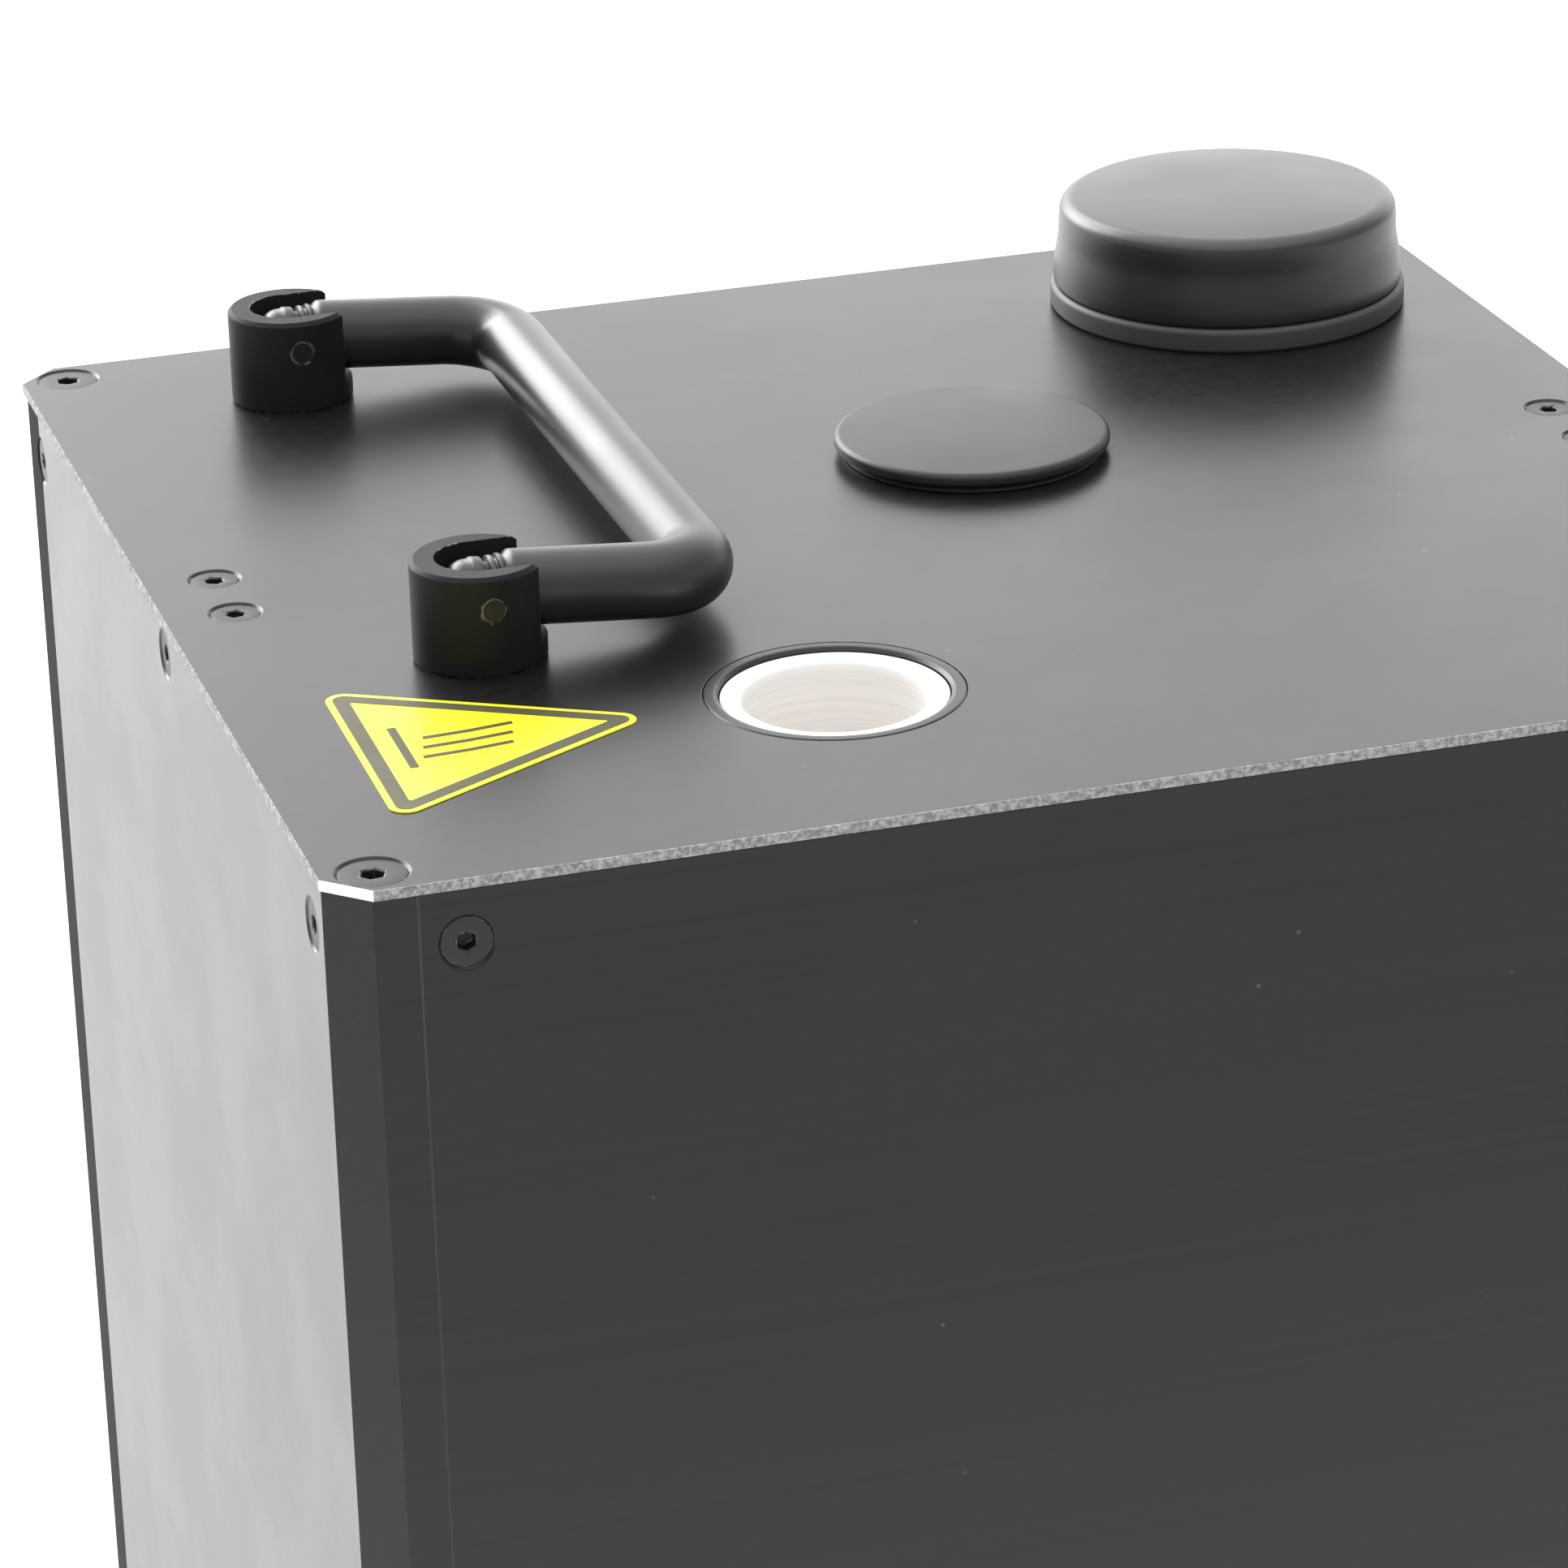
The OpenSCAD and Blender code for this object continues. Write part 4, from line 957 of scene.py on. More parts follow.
def rod_tree() -> Tree:
    """Returns a tree that sweeps a round section along a line, with a thickness at each point."""
    made = Tree("Sweep a rod", {"Sides": ("NodeSocketInt", 40), "Material": ("NodeSocketMaterial", None)})
    g = made.graph
    curve = g.node("GeometryNodeMeshToCurve", {"Mesh": made.given["Geometry"]}).outputs[0]
    size = g.node("GeometryNodeInputNamedAttribute", {"Name": "thickness"}, data_type="FLOAT").outputs[0]
    keys = {"Resolution": made.given["Sides"], "Radius": 1.0}
    section = g.node("GeometryNodeCurvePrimitiveCircle", keys).outputs[0]
    keys = {"Curve": curve, "Profile Curve": section, "Scale": size, "Fill Caps": True}
    made.end(g.node("GeometryNodeCurveToMesh", keys).outputs[0])
    return made


def line_object(name: str, places: Sequence[Vector], attribute: str, kind: str, values: Sequence[object],
                joined: bool) -> Object:
    """Makes points that each carry one value.

    Args:
        name: the object's name.
        places: the places in metres.
        attribute: the value's name.
        kind: the attribute's data type.
        values: the value of each point.
        joined: whether the points form a line.

    Returns:
        The object, for a node tree to use up.
    """
    mesh = bpy.data.meshes.new(name)
    edges = [(k, k + 1) for k in range(len(places) - 1)] if joined else []
    mesh.from_pydata([tuple(p) for p in places], edges, [])
    held = mesh.attributes.new(attribute, kind, "POINT").data
    for slot, value in zip(held, values):
        setattr(slot, "vector" if kind == "FLOAT_VECTOR" else "value", value)
    return linked(name, mesh)


# ---- Workshop ------------------------------------------------------------------------------------


class Workshop:
    """Holds the frame, the finishes and the trees, and gives each piece its body and its material, the slot's
    unless it has its own.
    """

    def __init__(self, frame: dict) -> None:
        """Builds the shared trees and finishes."""
        self.nodes: dict[str, Object] = frame["nodes"]
        self.effects = Effects()
        self.finishes = {slot: finish.material(self.effects) for slot, finish in STANDARD.items()}
        self.repeat = repeat_tree()
        self.rod = rod_tree()

    def finish(self, finish: Finish) -> Material:
        """Returns the material of a finish that one piece has for itself."""
        return finish.material(self.effects)

    def piece(self, obj: Object, body: Body, slot: Slot, *replaced: str,
              material: Material | None = None) -> Object:
        """Gives a finished piece its material, which is its slot's unless it has its own, and its body.

        Args:
            obj: the piece, at the origin.
            body: the CAD body that it rides on.
            slot: the record's finish.
            replaced: the CAD nodes that it stands for.
            material: a material of its own, or the slot's.

        Returns:
            The piece.
        """
        obj.data.materials.clear()
        obj.data.materials.append(material or self.finishes[slot])
        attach(obj, body.value)
        if replaced:
            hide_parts(*replaced)
        log.info("%s: %d faces", obj.name, len(obj.data.polygons))
        return obj

    def softer(self, node: str, name: str, body: Body, slot: Slot, width: float,
               material: Material | None = None) -> Object:
        """Replaces a CAD node by a copy with rounded edges."""
        return self.piece(softened(self.nodes[node], name, width), body, slot, node, material=material)

    def dress(self, slot: Slot, *names: str) -> None:
        """Gives CAD nodes that stay their finish."""
        for name in names:
            held = self.nodes[name].data.materials
            held.clear()
            held.append(self.finishes[slot])

    def middle(self, node: str) -> Vector:
        """Returns the middle of a CAD node's box, at its top."""
        low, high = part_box(node)
        return Vector(((low.x + high.x) / 2, (low.y + high.y) / 2, high.z))

    def repeated(self, part: Object, places: Places, name: str, slot: Slot,
                 seed: int) -> Object:
        """Sets a part on many places.

        Args:
            part: the part, which is used up.
            places: place and axis of each copy.
            name: the result's name.
            slot: its finish.
            seed: the seed of the spins.

        Returns:
            One plain mesh with every copy.
        """
        spots, axes = zip(*places)
        points = line_object(name + "_points", spots, "axis", "FLOAT_VECTOR", axes, False)
        made = self.repeat.run(points, name, {"Part": part, "Seed": seed, "Material": self.finishes[slot]})
        bpy.data.objects.remove(part)
        return made


# ---- Sub-assemblies ------------------------------------------------------------------------------


@dataclass
class Case:
    """The plates and panels, in millimetres from the case's front left corner at the table."""

    width: float = 193.0
    depth: float = 186.0
    height: float = 300.0
    reach: float = 15.0
    cut: float = 4.95
    strip: float = 9.8
    edge: float = 0.13
    panel_edge: float = 0.1
    plate_colour: Colour = (0.012, 0.012, 0.0122)
    panel_colour: Colour = (0.0075, 0.0075, 0.0077)
    panel_rough: float = 0.33
    foot: float = 10.0
    base: float = 2.0
    inset: float = 0.3
    curl: float = 1.6
    # Painted light toward the bottom of every panel, standing in for light from the floor.
    film: float = 0.62
    gloss: dict[Run, float] = field(default_factory=lambda: {Run.ACROSS: 0.34, Run.DEEP: 0.78})

    def at(self, x: float, y: float, z: float) -> Vector:
        """Returns a place in the row frame, in metres."""
        return Vector(((x - self.width / 2) * MM, (y - (self.depth + self.reach) / 2) * MM, z * MM))

    def side(self, number: int, u: float, v: float, z: float) -> Vector:
        """Returns a place on a side, u along it from its folded corner and v into the case."""
        corners = ((0.0, 0.0), (self.width, 0.0), (self.width, self.depth), (0.0, self.depth))
        turn = math.radians(90 * number)
        x = corners[number][0] + u * math.cos(turn) - v * math.sin(turn)
        y = corners[number][1] + u * math.sin(turn) + v * math.cos(turn)
        return self.at(x, y, z)

    def rim(self) -> tuple[float, float, float, float]:
        """Returns half width, half depth, cut corner and middle of the plates, in metres."""
        return (self.width / 2 * MM, self.depth / 2 * MM, self.cut * MM, -self.reach / 2 * MM)

    def build(self, shop: Workshop) -> None:
        """Builds the plates and panels."""
        low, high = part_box("top_plate")
        strip, rim = self.strip * MM, self.rim()
        plate = shop.finish(Anodised("top plate anodised", self.plate_colour, 0.3, specular=0.4, rim=rim))
        base = shop.finish(Anodised("base plate anodised", self.plate_colour, 0.36, rim=rim))
        shop.softer("top_plate", "lid_plate", Body.CASING, Slot.ANODISED, self.edge, plate)
        shop.softer("base_plate", "floor_plate", Body.CASING, Slot.ANODISED, self.edge, base)
        panels = {
            "front_panel": ("front_sheet", Run.ACROSS, ((1.0, 0.0, 0.0), low.x + strip)),
            "right_panel": ("right_sheet", Run.DEEP, ((0.0, 1.0, 0.0), low.y + strip)),
            "rear_panel": ("rear_sheet", Run.ACROSS, ((1.0, 0.0, 0.0), high.x - strip)),
            "left_panel": ("left_sheet", Run.DEEP, ((0.0, 1.0, 0.0), high.y - strip)),
        }
        for node, (name, run, fold) in panels.items():
            # Only the left sheet's end strip curls, with a bump tilt and painted shade.
            curl = self.curl if node == "left_panel" else 0.0
            look = Anodised(name + " anodised", self.panel_colour, self.panel_rough, run=run,
                            specular=self.gloss[run], fold=fold, curl=curl, film=self.film)
            shop.softer(node, name, Body.CASING, Slot.ANODISED, self.panel_edge, shop.finish(look))
        shop.dress(Slot.BARE, "corner_posts", "side_brackets")


@dataclass
class Fasteners:
    """Countersunk socket screws, their places, and the feet under the case."""

    case: Case
    head: dict[int, float] = field(default_factory=lambda: {4: 3.9, 3: 3.0})
    socket: dict[int, float] = field(default_factory=lambda: {4: 2.5, 3: 2.0})
    length: dict[int, float] = field(default_factory=lambda: {4: 14.0, 3: 6.0})
    corner: Point = (6.1, 5.3)
    bracket_x: float = 8.75
    bracket_y: Point = (87.3, 99.3)
    side_y: float = 89.5
    side_drop: float = 5.0
    start_u: float = 15.0
    end_u: float = 10.8
    drop: float = 7.6
    foot_inset: float = 22.0
    sunk: float = 0.2

    def screw(self, thread: int, segments: int = 48) -> Object:
        """Builds one screw with its head in the plane z = 0.

        Args:
            thread: the thread's size, 3 or 4.
            segments: the steps round, a multiple of 6.

        Returns:
            The screw as an object.
        """
        outer, stem, end = self.head[thread], thread / 2 - 0.1, 0.1 - self.length[thread]
        flat, deep = self.socket[thread] / 2, 0.55 * thread - 0.05
        sixth = math.pi / 3
        turns = [math.tau * k / segments for k in range(segments)]
        six = [1.0 / math.cos((turn + sixth / 2) % sixth - sixth / 2) for turn in turns]
        hexagon = ((flat * 0.98, -deep), (flat, -0.16), (flat + 0.14, -0.02))
        round_part = ((flat + 0.3, -0.01), (outer - 0.3, -0.01), (outer - 0.1, -0.04), (outer, -0.14),
                      (outer, -0.2),
                      (stem, stem - outer - 0.1), (stem, end + 0.5), (stem - 0.4, end), (0.0, end))
        shape, upright = bmesh.new(), Matrix.Identity(4)
        rings = [ring(shape, 0.0, -deep - 0.35, segments, upright)]
        for radius, height in hexagon:
            rings.append(ring(shape, [radius * part for part in six], height, segments, upright))
        rings += [ring(shape, radius, height, segments, upright) for radius, height in round_part]
        bridge(shape, rings, segments)
        return from_bmesh(f"screw_m{thread}", shape)

    def corner_places(self) -> Places:
        """Returns the places of the large screws, in the top and base plates."""
        c, (x, y) = self.case, self.corner
        return [(c.at(across, along, z), Vector((0, 0, way))) for across in (x, c.width - x)
                for along in (y, c.depth - y) for z, way in ((c.height, 1), (c.foot, -1))]

    def small_places(self) -> Places:
        """Returns the places of the small screws, in the top plate and the panels."""
        c = self.case
        made = [(c.at(x, y, c.height), Vector((0, 0, 1)))
                for x in (self.bracket_x, c.width - self.bracket_x) for y in self.bracket_y]
        outward = (Vector((0, -1, 0)), Vector((1, 0, 0)), Vector((0, 1, 0)), Vector((-1, 0, 0)))
        for number, axis in enumerate(outward):
            length = c.width if number % 2 == 0 else c.depth
            for u in (self.start_u, length - self.end_u):
                for z in (c.foot + c.base + self.drop, c.height - self.drop):
                    made.append((c.side(number, u, c.inset, z), axis))
        for x, axis in ((c.inset, outward[3]), (c.width - c.inset, outward[1])):
            made.append((c.at(x, self.side_y, c.height - self.side_drop), axis))
        return made

    def lowered(self, places: Places) -> Places:
        """Returns the places a little below the surface that they lie in."""
        return [(spot - axis * self.sunk * MM, axis) for spot, axis in places]

    def build(self, shop: Workshop) -> None:
        """Builds the screws, the feet and their screws."""
        kinds = ((4, self.corner_places(), "plate_screws", "corner_screws", 11),
                 (3, self.small_places(), "panel_screws", "case_screws", 23))
        for thread, places, name, node, seed in kinds:
            made = shop.repeated(self.screw(thread), self.lowered(places), name, Slot.BLACK_STEEL, seed)
            shop.piece(made, Body.CASING, Slot.BLACK_STEEL, node)
        inset, c = self.foot_inset, self.case
        spots = [(c.at(x, y, 0.0), Vector((0, 0, 1)))
                 for x in (inset, c.width - inset) for y in (inset, c.depth - inset)]
        profile = filleted([
            (2.1, 3.2), (5.2, 3.2, 0.3), (5.2, 0.0, 0.5), (9.4, 0.0, 0.6), (10.4, 0.8, 0.5), (10.6, 4.0, 0.3),
            (10.2, 4.4, 0.3), (10.2, 5.2, 0.3), (10.7, 5.6, 0.3), (11.0, 9.99), (2.1, 9.99)])
        foot = turned("foot", profile, Vector(), segments=64)
        shop.piece(shop.repeated(foot, spots, "rubber_feet", Slot.FOOT, 5), Body.CASING, Slot.FOOT, "feet")
        shop.softer("foot_screws", "foot_bolts", Body.CASING, Slot.ZINC, 0.15)


@dataclass
class FoldingHandle:
    """The two slotted posts, their pins and the folding bar."""

    case: Case
    place: Point = (32.9, 63.2)
    gap: float = 100.0
    pin_height: float = 308.3
    thickness: float = 9.1
    reach: float = 28.4
    elbow: float = 8.0
    droop: float = 4.8
    lathe: tuple[Point, ...] = (
        (-4.1, 0.0), (-4.05, 0.9), (-3.9, 1.6), (-3.5, 2.3), (-3.1, 2.9), (-2.5, 3.3), (-2.0, 3.5),
        (-1.2, 3.6),
        (-1.05, 3.72), (-0.95, 3.8), (0.15, 3.8), (0.25, 3.7), (0.38, 3.25), (0.46, 3.2), (0.88, 3.2),
        (0.96, 3.3),
        (1.06, 3.8), (1.16, 3.9), (1.55, 3.9), (1.63, 3.8), (1.73, 3.55), (1.8, 3.5), (1.97, 3.5),
        (2.04, 3.58),
        (2.12, 4.0), (2.2, 4.1), (2.55, 4.1), (2.65, 4.0), (2.78, 3.82), (2.9, 3.8), (3.1, 3.9), (3.4, 4.3),
        (3.7, 4.52), (4.1, 4.55))

    def spot(self, x: float, y: float) -> Vector:
        """Returns a place of the folded bar's own plane in the row frame."""
        lean = math.radians(self.droop)
        return self.case.at(self.place[0] + x * math.cos(lean), self.place[1] + y,
                            self.pin_height - x * math.sin(lean))

    def path(self) -> list[tuple[Vector, float]]:
        """Returns the bar's line with its radius at each point, in metres."""
        r, straight = self.thickness / 2, self.reach - self.elbow
        half = [(x, 0.0, size) for x, size in self.lathe]
        half += [(x, 0.0, r) for x in (8.0, 12.0, 16.0, straight - 1.2)]
        for k in range(13):
            a = math.pi / 2 * k / 12
            swell = 0.12 * math.sin(2 * a) ** 2
            half.append((straight + self.elbow * math.sin(a), self.elbow * (1 - math.cos(a)), r + swell))
        half += [(self.reach, y, r) for y in (self.elbow + 1.2, 14.0, 24.0, 36.0, 49.0)]
        far = [(x, self.gap - y, size) for x, y, size in reversed(half)]
        return [(self.spot(x, y), max(size, 0.01) * MM) for x, y, size in half + far]

    def build(self, shop: Workshop) -> None:
        """Builds the posts, the pins and the bar."""
        for node, name in (("handle_post_front", "front_post"), ("handle_post_rear", "rear_post")):
            shop.softer(node, name, Body.CASING, Slot.POST, 0.12)
        shop.softer("hinge_pins", "pins", Body.CASING, Slot.ZINC, 0.12, shop.finish(PINS))
        shop.softer("handle_nuts", "post_nuts", Body.CASING, Slot.ZINC, 0.2)
        spots, sizes = zip(*self.path())
        line = line_object("bar_line", spots, "thickness", "FLOAT", sizes, True)
        bar = shop.rod.run(line, "carry_bar", {"Sides": 48, "Material": shop.finishes[Slot.HANDLE]}, 50.0)
        shop.piece(bar, Body.HANDLE, Slot.HANDLE, "handle_bar")


@dataclass
class Outlet:
    """The white outlet tube in its flush ring."""

    tube: float = 26.6
    bore: float = 21.6
    ring: float = 30.4
    length: float = 52.0
    drop: float = 0.4
    marks: float = 0.012
    pitch: float = 0.8

    def build(self, shop: Workshop) -> None:
        """Builds the ring and the tube."""
        top = shop.middle("top_plate").z / MM
        centre = shop.middle("outlet_tube")
        centre.z = 0.0
        half, hole = self.ring / 2, self.tube / 2 + 0.15
        flush = filleted([(hole, top - 4), (19.5, top - 4), (19.5, top - 1.26), (half, top - 1.26),
                          (half, top - 0.12),
                          (half - 0.16, top + 0.03, 0.1), (hole + 0.4, top + 0.03, 0.2),
                          (hole, top - 0.35, 0.15)])
        shop.piece(turned("outlet_rim", flush, centre), Body.CASING, Slot.RING, "outlet_ring")
        b, r, t = self.bore / 2, self.tube / 2, top - self.drop
        outside = filleted([
            (b, t - self.length), (r, t - self.length), (r, t, 0.35), (b + 0.25, t - 0.3, 0.3), (b, t - 0.8)])
        count = int((self.length - 2.0) / self.pitch)
        wall = [(b + self.marks * math.sin(2.4 * k) ** 2, t - 0.8 - self.pitch * k) for k in range(1, count)]
        tube = turned("fog_tube", outside + wall, centre, segments=160)
        look = TurnedWhite("turned white", (0.93, 0.92, 0.9), 0.42, mouth=(centre.x, centre.y, t * MM))
        shop.piece(tube, Body.CASING, Slot.OUTLET, "outlet_tube", material=shop.finish(look))
        shop.dress(Slot.BARE, "outlet_socket", "heater_core", "heater_stand")


@dataclass
class Filler:
    """The screw cap, its collar and the flat port plug."""

    cap: float = 45.8
    cap_height: float = 15.3
    collar: float = 24.05
    collar_height: float = 3.3
    mouth: float = 19.0
    neck: float = 9.8
    plug: float = 35.2
    port: float = 14.1

    def build(self, shop: Workshop) -> None:
        """Builds the cap, the collar and the plug."""
        top = shop.middle("top_plate").z / MM
        centre = shop.middle("filler_cap")
        centre.z = 0.0
        r, z, t = self.cap / 2, top + self.collar_height + 0.1, top + self.cap_height
        cap = filleted([
            (0.0, t + 0.5), (8.0, t + 0.42), (15.0, t + 0.12), (r - 1.5, t - 0.35, 0.8),
            (r - 0.2, t - 1.3, 0.9),
            (r - 0.05, t - 3.0), (r, z + 6.6, 1.0), (r + 0.55, z + 3.2, 1.6), (r + 0.74, z + 1.4, 0.8),
            (r + 0.7, z + 0.3, 0.2), (r + 0.4, z, 0.1), (self.mouth + 0.5, z, 0.2),
            (self.mouth + 0.5, t - 2.6, 0.3),
            (0.0, t - 2.6)], 6)
        shop.piece(turned("screw_cap", cap, centre, segments=160), Body.CAP, Slot.CAP, "filler_cap")
        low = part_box("filler_collar")[0].z / MM
        m, n, w = self.mouth, self.neck, 1.8
        collar = filleted([
            (m - w, top + 10.5, 0.3), (m, top + 10.5, 0.3), (m, top + self.collar_height, 0.2),
            (self.collar - 0.5, top + self.collar_height, 0.4),
            (self.collar, top + self.collar_height - 0.5, 0.3),
            (self.collar, top + 0.4, 0.2), (self.collar - 0.4, top, 0.1), (m, top), (m, top - 15.25),
            (n, top - 27.25),
            (n, low), (n - w, low), (n - w, top - 27.25, 0.5), (m - w, top - 15.25, 0.5)])
        shop.piece(turned("neck_collar", collar, centre), Body.CASING, Slot.COLLAR, "filler_collar")
        shop.dress(Slot.SEAL, "cap_seal")
        self.build_plug(shop, top)

    def build_plug(self, shop: Workshop, top: float) -> None:
        """Builds the flat plug with its gently domed top and undercut rim."""
        low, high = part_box("port_plug")
        centre = Vector(((low.x + high.x) / 2, (low.y + high.y) / 2, 0.0))
        r, h, foot = self.plug / 2, high.z / MM, low.z / MM
        stem = self.port - 0.15
        profile = filleted([
            (0.0, h - 0.02), (r - 9.0, h - 0.14), (r - 4.0, h - 0.42), (r - 1.8, h - 0.55),
            (r - 0.5, h - 0.62, 0.4),
            (r - 0.02, h - 1.1, 0.3), (r - 0.02, h - 1.9, 0.1), (r - 0.14, h - 2.15, 0.1),
            (r - 0.9, h - 2.35, 0.2),
            (r - 1.3, top + 0.5, 0.3), (r - 1.2, top + 0.06, 0.1), (stem, top + 0.06), (stem, foot + 0.6),
            (stem - 0.6, foot, 0.2), (0.0, foot)], 5)
        shop.piece(turned("flat_plug", profile, centre, segments=160), Body.PLUG, Slot.PLUG, "port_plug")


@dataclass
class RearControls:
    """Inlet, switch, control socket, jack, output knob and button on the rear panel."""

    case: Case
    knob_at: Point = (78.0, 122.0)
    knob: float = 17.0
    knob_low: float = 3.4
    ribs: int = 24
    rib_width: float = 1.15
    rib_proud: float = 0.62
    rounded: tuple[tuple[str, str, Body, Slot, float], ...] = (
        ("mains_inlet", "inlet_shell", Body.CASING, Slot.MOULDED, 0.3),
        ("socket_pins", "contact_pins", Body.CASING, Slot.BRASS, 0.25),
        ("fuse_drawer", "fuse_holder", Body.DRAWER, Slot.MOULDED, 0.2),
        ("switch_frame", "rocker_frame", Body.CASING, Slot.MOULDED, 0.35),
        ("switch_rocker", "rocker_key", Body.ROCKER, Slot.ROCKER, 0.35),
        ("control_socket", "control_shell", Body.CASING, Slot.SOCKET, 0.35),
        ("remote_jack", "jack_nut", Body.CASING, Slot.NICKEL, 0.2),
        ("button_bezel", "button_ring", Body.CASING, Slot.NICKEL, 0.2),
        ("fog_button", "push_button", Body.BUTTON, Slot.BUTTON, 0.3))

    def behind(self, x: float, z: float) -> Vector:
        """Returns a place on the rear panel's face, in metres, as the CAD places it from its own corner."""
        return self.case.at(x, self.case.depth - self.case.inset, z)

    def build_knob(self, shop: Workshop) -> None:
        """Builds the knob's skirt and sets its ribs round it."""
        r, low, high = self.knob / 2, self.knob_low, self.case.reach + self.case.inset
        centre = self.behind(*self.knob_at)
        body = filleted([
            (0.0, high - 0.25), (r - 3.4, high - 0.25), (r - 2.6, high - 0.02, 0.3),
            (r - 1.7, high - 0.02, 0.5),
            (r - 1.05, high - 0.9, 0.4), (r - 0.75, low + 2.4, 0.3), (r - 0.04, low + 1.8, 0.3),
            (r - 0.04, low, 0.2),
            (3.0, low), (3.0, -9.0), (0.0, -9.0)])
        barrel = turned("knob_barrel", body, centre, "Y", 96)
        rib = bmesh.new()
        bmesh.ops.create_grid(rib, x_segments=6, y_segments=8, size=0.5)
        length = high - low - 3.6
        for v in rib.verts:
            along = v.co.y + 0.5
            lift = math.cos(math.pi * v.co.x) * math.sin(math.pi * min(1.0, along * 1.02 + 0.02)) ** 0.25
            proud = self.rib_proud * max(lift, -0.2) - 0.3
            v.co = Vector((v.co.x * self.rib_width, proud, low + 2.3 + along * length)) * MM
        part = from_bmesh("rib", rib)
        joined = bmesh.new()
        joined.from_mesh(barrel.data)
        upright = Matrix.Translation(centre) @ BACKWARD
        out = Matrix.Translation((0, (r - 0.75) * MM, 0))
        for k in range(self.ribs):
            copy = part.data.copy()
            copy.transform(upright @ Matrix.Rotation(math.tau * k / self.ribs, 4, "Z") @ out)
            joined.from_mesh(copy)
            bpy.data.meshes.remove(copy)
        for used in (part, barrel):
            bpy.data.objects.remove(used)
        shop.piece(from_bmesh("output_dial", joined), Body.KNOB, Slot.KNOB, "output_knob")

    def build(self, shop: Workshop) -> None:
        """Builds the controls."""
        self.build_knob(shop)
        for row in self.rounded:
            shop.softer(*row)
        shop.dress(Slot.NICKEL, "potentiometer")


@dataclass
class CautionLabel:
    """The yellow triangle and its print."""

    edge: float = 0.03

    def build(self, shop: Workshop) -> None:
        """Builds the label sheet and dresses the print."""
        shop.softer("caution_label", "label_film", Body.CASING, Slot.YELLOW, self.edge)
        shop.dress(Slot.PRINT, "caution_mark")


@dataclass
class InnerWorks:
    """Heater, tank, pump and board, which stay as the CAD has them."""

    finishes: dict[Slot, tuple[str, ...]] = field(default_factory=lambda: {
        Slot.BRASS: ("nozzle", "board_spacers"),
        Slot.INSULATION: ("insulation_jacket",),
        Slot.TANK: ("fluid_tank", "pickup_tube"),
        Slot.HOSE: ("suction_hose", "pressure_hose"),
        Slot.SENSOR: ("level_sensor",),
        Slot.COIL: ("pump_coil",),
        Slot.THERMOSTAT: ("thermal_cutout",),
        Slot.BOARD: ("control_board",),
        Slot.TRANSFORMER: ("transformer",),
        Slot.BARE: ("tank_tray", "pump_bracket", "heat_sink"),
        Slot.ZINC: ("heater_coil", "heater_cartridge", "heater_shield", "pump_body", "pump_spring",
                    "pump_plunger"),
    })

    def build(self, shop: Workshop) -> None:
        """Dresses the inner parts."""
        for slot, names in self.finishes.items():
            shop.dress(slot, *names)


# ---- Studio --------------------------------------------------------------------------------------


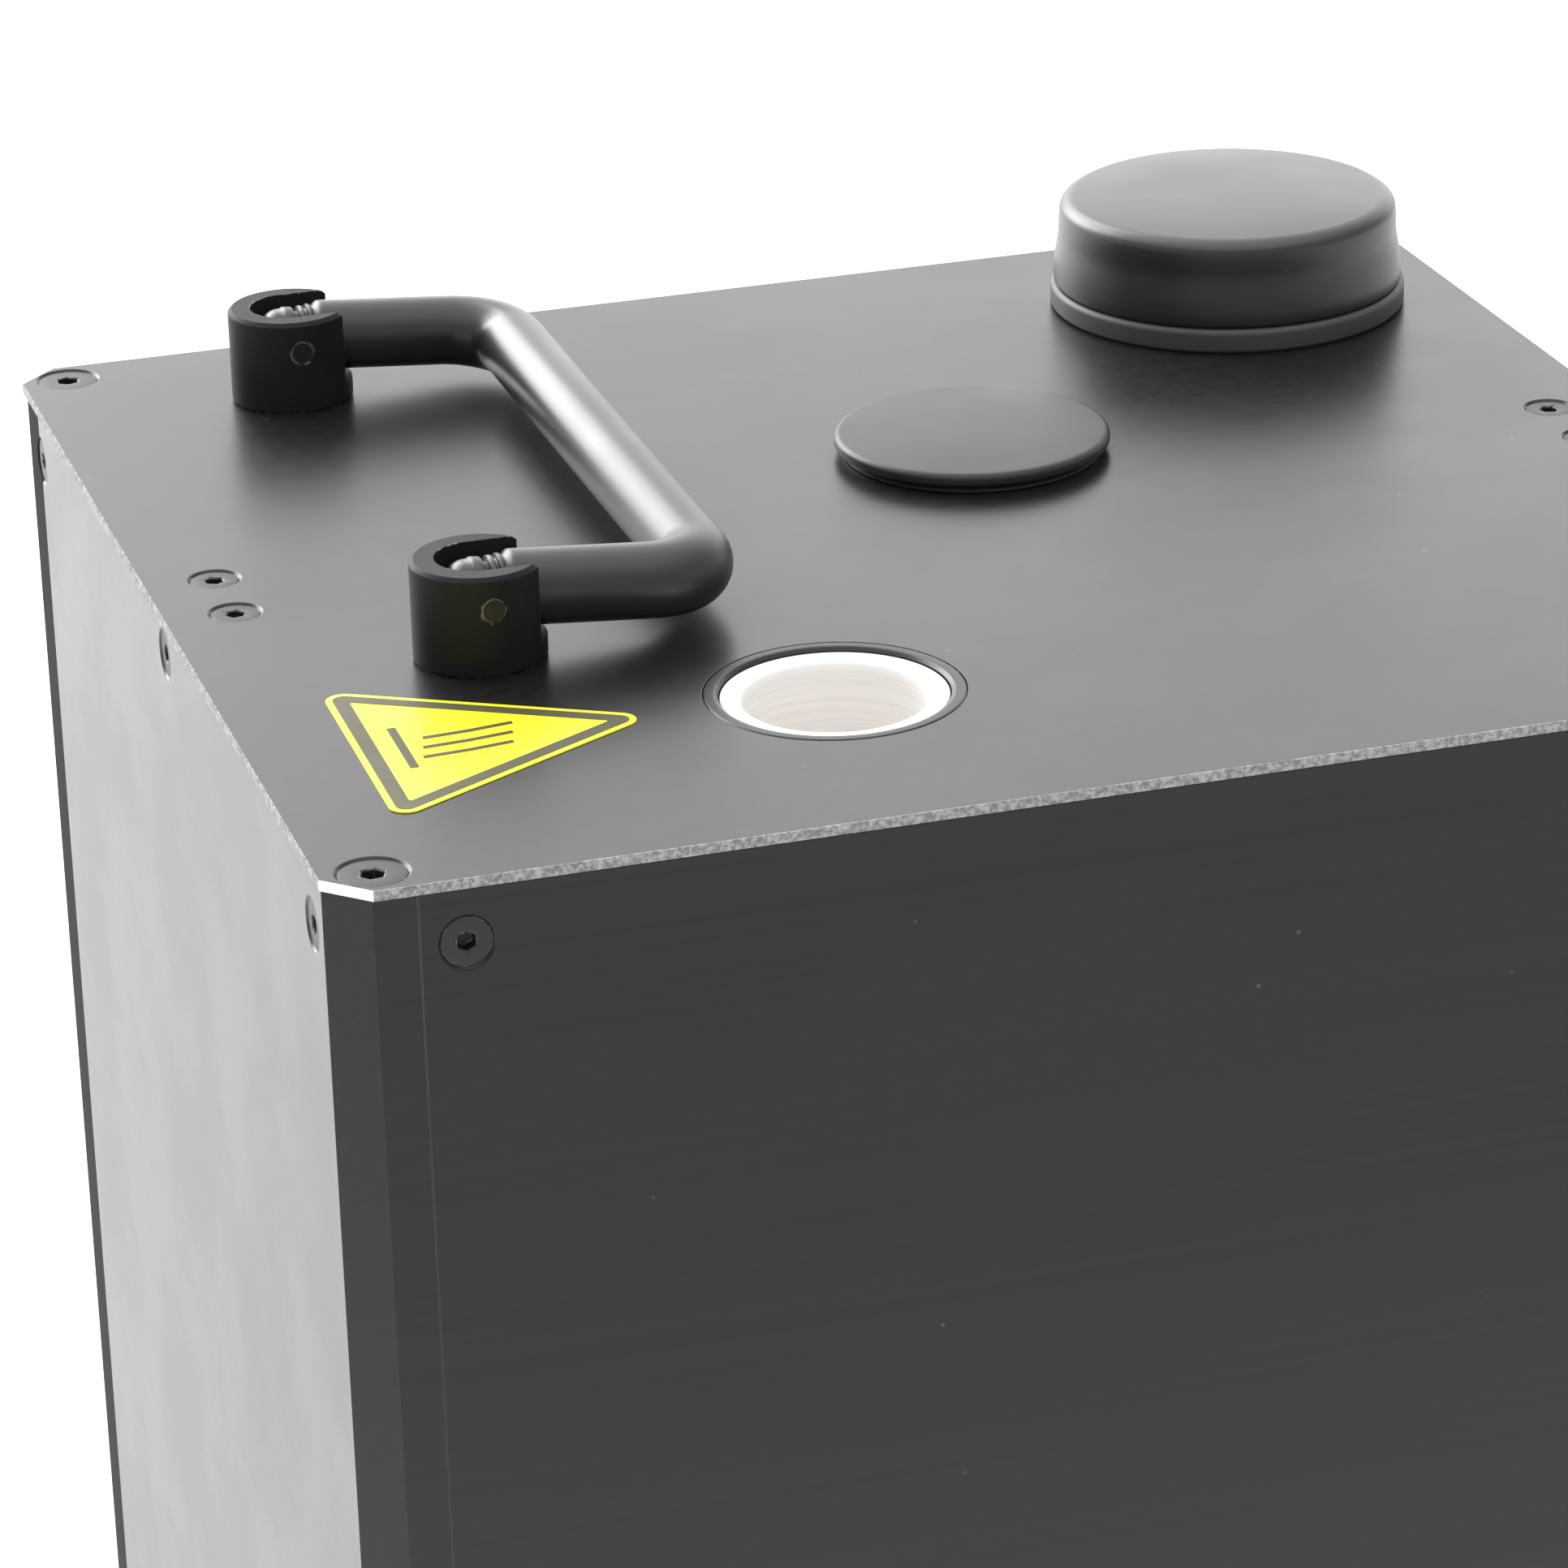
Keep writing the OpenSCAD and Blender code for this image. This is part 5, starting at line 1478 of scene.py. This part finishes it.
@dataclass
class Studio:
    """Camera, floor and soft light."""

    eye: tuple[float, float, float] = (-0.2145, -0.6746, 0.5552)
    yaw: float = 16.39
    pitch: float = 22.63
    roll: float = -1.58
    lens: float = 137.64
    sensor: float = 36.0
    front: float = 0.66
    behind: float = 2.6
    high: float = 0.45
    overhead: float = 2.3
    bright_way: tuple[float, float, float] = (-0.05, 0.98, 0.1)

    def camera(self) -> None:
        """Places the camera at the viewing angle."""
        yaw, pitch, roll = (math.radians(v) for v in (self.yaw, self.pitch, self.roll))
        ahead = Vector((math.sin(yaw) * math.cos(pitch), math.cos(yaw) * math.cos(pitch), -math.sin(pitch)))
        right = Vector((math.cos(yaw), -math.sin(yaw), 0.0))
        up = right.cross(ahead)
        turned_right = right * math.cos(roll) + up * math.sin(roll)
        turned_up = up * math.cos(roll) - right * math.sin(roll)
        data = bpy.data.cameras.new("camera")
        data.lens, data.sensor_width = self.lens, self.sensor
        data.clip_start, data.clip_end = 0.01, 60.0
        made = bpy.data.objects.new("camera", data)
        made.matrix_world = Matrix((turned_right, turned_up, -ahead)).transposed().to_4x4()
        made.location = self.eye
        bpy.context.scene.collection.objects.link(made)
        bpy.context.scene.camera = made

    def floor(self) -> None:
        """Lays a large pale floor."""
        shape = bmesh.new()
        bmesh.ops.create_circle(shape, cap_ends=True, segments=96, radius=9.0)
        made = from_bmesh("studio_floor", shape)
        paint = Paint("pale floor")
        patches = paint.span(paint.noise(paint.place, 2.0), 0.3, 0.7)
        paint.dress(Base_Color=paint.blend(patches, grey(0.86), grey(0.88)), Roughness=0.9,
                    Specular_IOR_Level=0.1)
        made.data.materials.append(paint.material)
        made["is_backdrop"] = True

    def surroundings(self) -> None:
        """Lights the scene from a pale room that is brightest behind the case and to its left."""
        world = bpy.data.worlds.new("studio")
        bpy.context.scene.world = world
        world.use_nodes = True
        world.node_tree.nodes.clear()
        graph = Graph(world.node_tree)
        way = graph.node("ShaderNodeTexCoord").outputs["Generated"]
        back = graph.vector("DOT_PRODUCT", way, Vector(self.bright_way).normalized()[:], out="Value")
        height = graph.parts(way)[2]
        fade = graph.span(height, 0.3, 0.8, 1.0, self.high)
        level = graph.mul(graph.span(back, 0.15, 0.85, self.front, self.behind), fade)
        level = graph.add(level, graph.span(height, 0.45, 1.0, 0.0, self.overhead - self.front))
        sky = graph.node("ShaderNodeBackground", {"Color": (1.0, 1.0, 1.0, 1.0), "Strength": level})
        graph.node("ShaderNodeOutputWorld", {"Surface": sky.outputs[0]})

    def lamp(self, name: str, at: Sequence[float], to: Sequence[float], size: Point, power: float) -> None:
        """Hangs one soft box.

        Args:
            name: the lamp's name.
            at: its place in metres.
            to: the place that it points at.
            size: its sides in metres.
            power: its power in watts.
        """
        data = bpy.data.lights.new(name, "AREA")
        data.shape, data.size, data.size_y, data.energy = "RECTANGLE", size[0], size[1], power
        made = bpy.data.objects.new(name, data)
        made.location = at
        made.rotation_euler = (Vector(to) - Vector(at)).to_track_quat("-Z", "Y").to_euler()
        bpy.context.scene.collection.objects.link(made)

    def build(self) -> None:
        """Builds the whole studio."""
        self.camera()
        self.floor()
        self.surroundings()
        self.lamp("back_softbox", (-0.9, 2.0, 1.7), (0.0, 0.0, 0.2), (2.2, 1.4), 55.0)
        self.lamp("left_softbox", (-1.0, 2.2, 1.0), (0.0, 0.0, 0.1), (1.2, 1.2), 20.0)
        bpy.context.scene.view_settings.view_transform = "Standard"


def corners() -> list[list[float]]:
    """Returns the shown object's box as plain lists."""
    return [[round(v, 6) for v in corner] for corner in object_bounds()]


def main() -> None:
    """Builds everything."""
    logging.basicConfig(level=logging.INFO, format="%(name)s %(message)s")
    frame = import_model()
    Studio().build()
    shop = Workshop(frame)
    case = Case()
    parts = (case, Fasteners(case), FoldingHandle(case), Outlet(), Filler(), RearControls(case),
             CautionLabel(), InnerWorks())
    for part in parts:
        log.info("building %s", type(part).__name__)
        part.build(shop)
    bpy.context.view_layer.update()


if __name__ == "__main__":
    main()
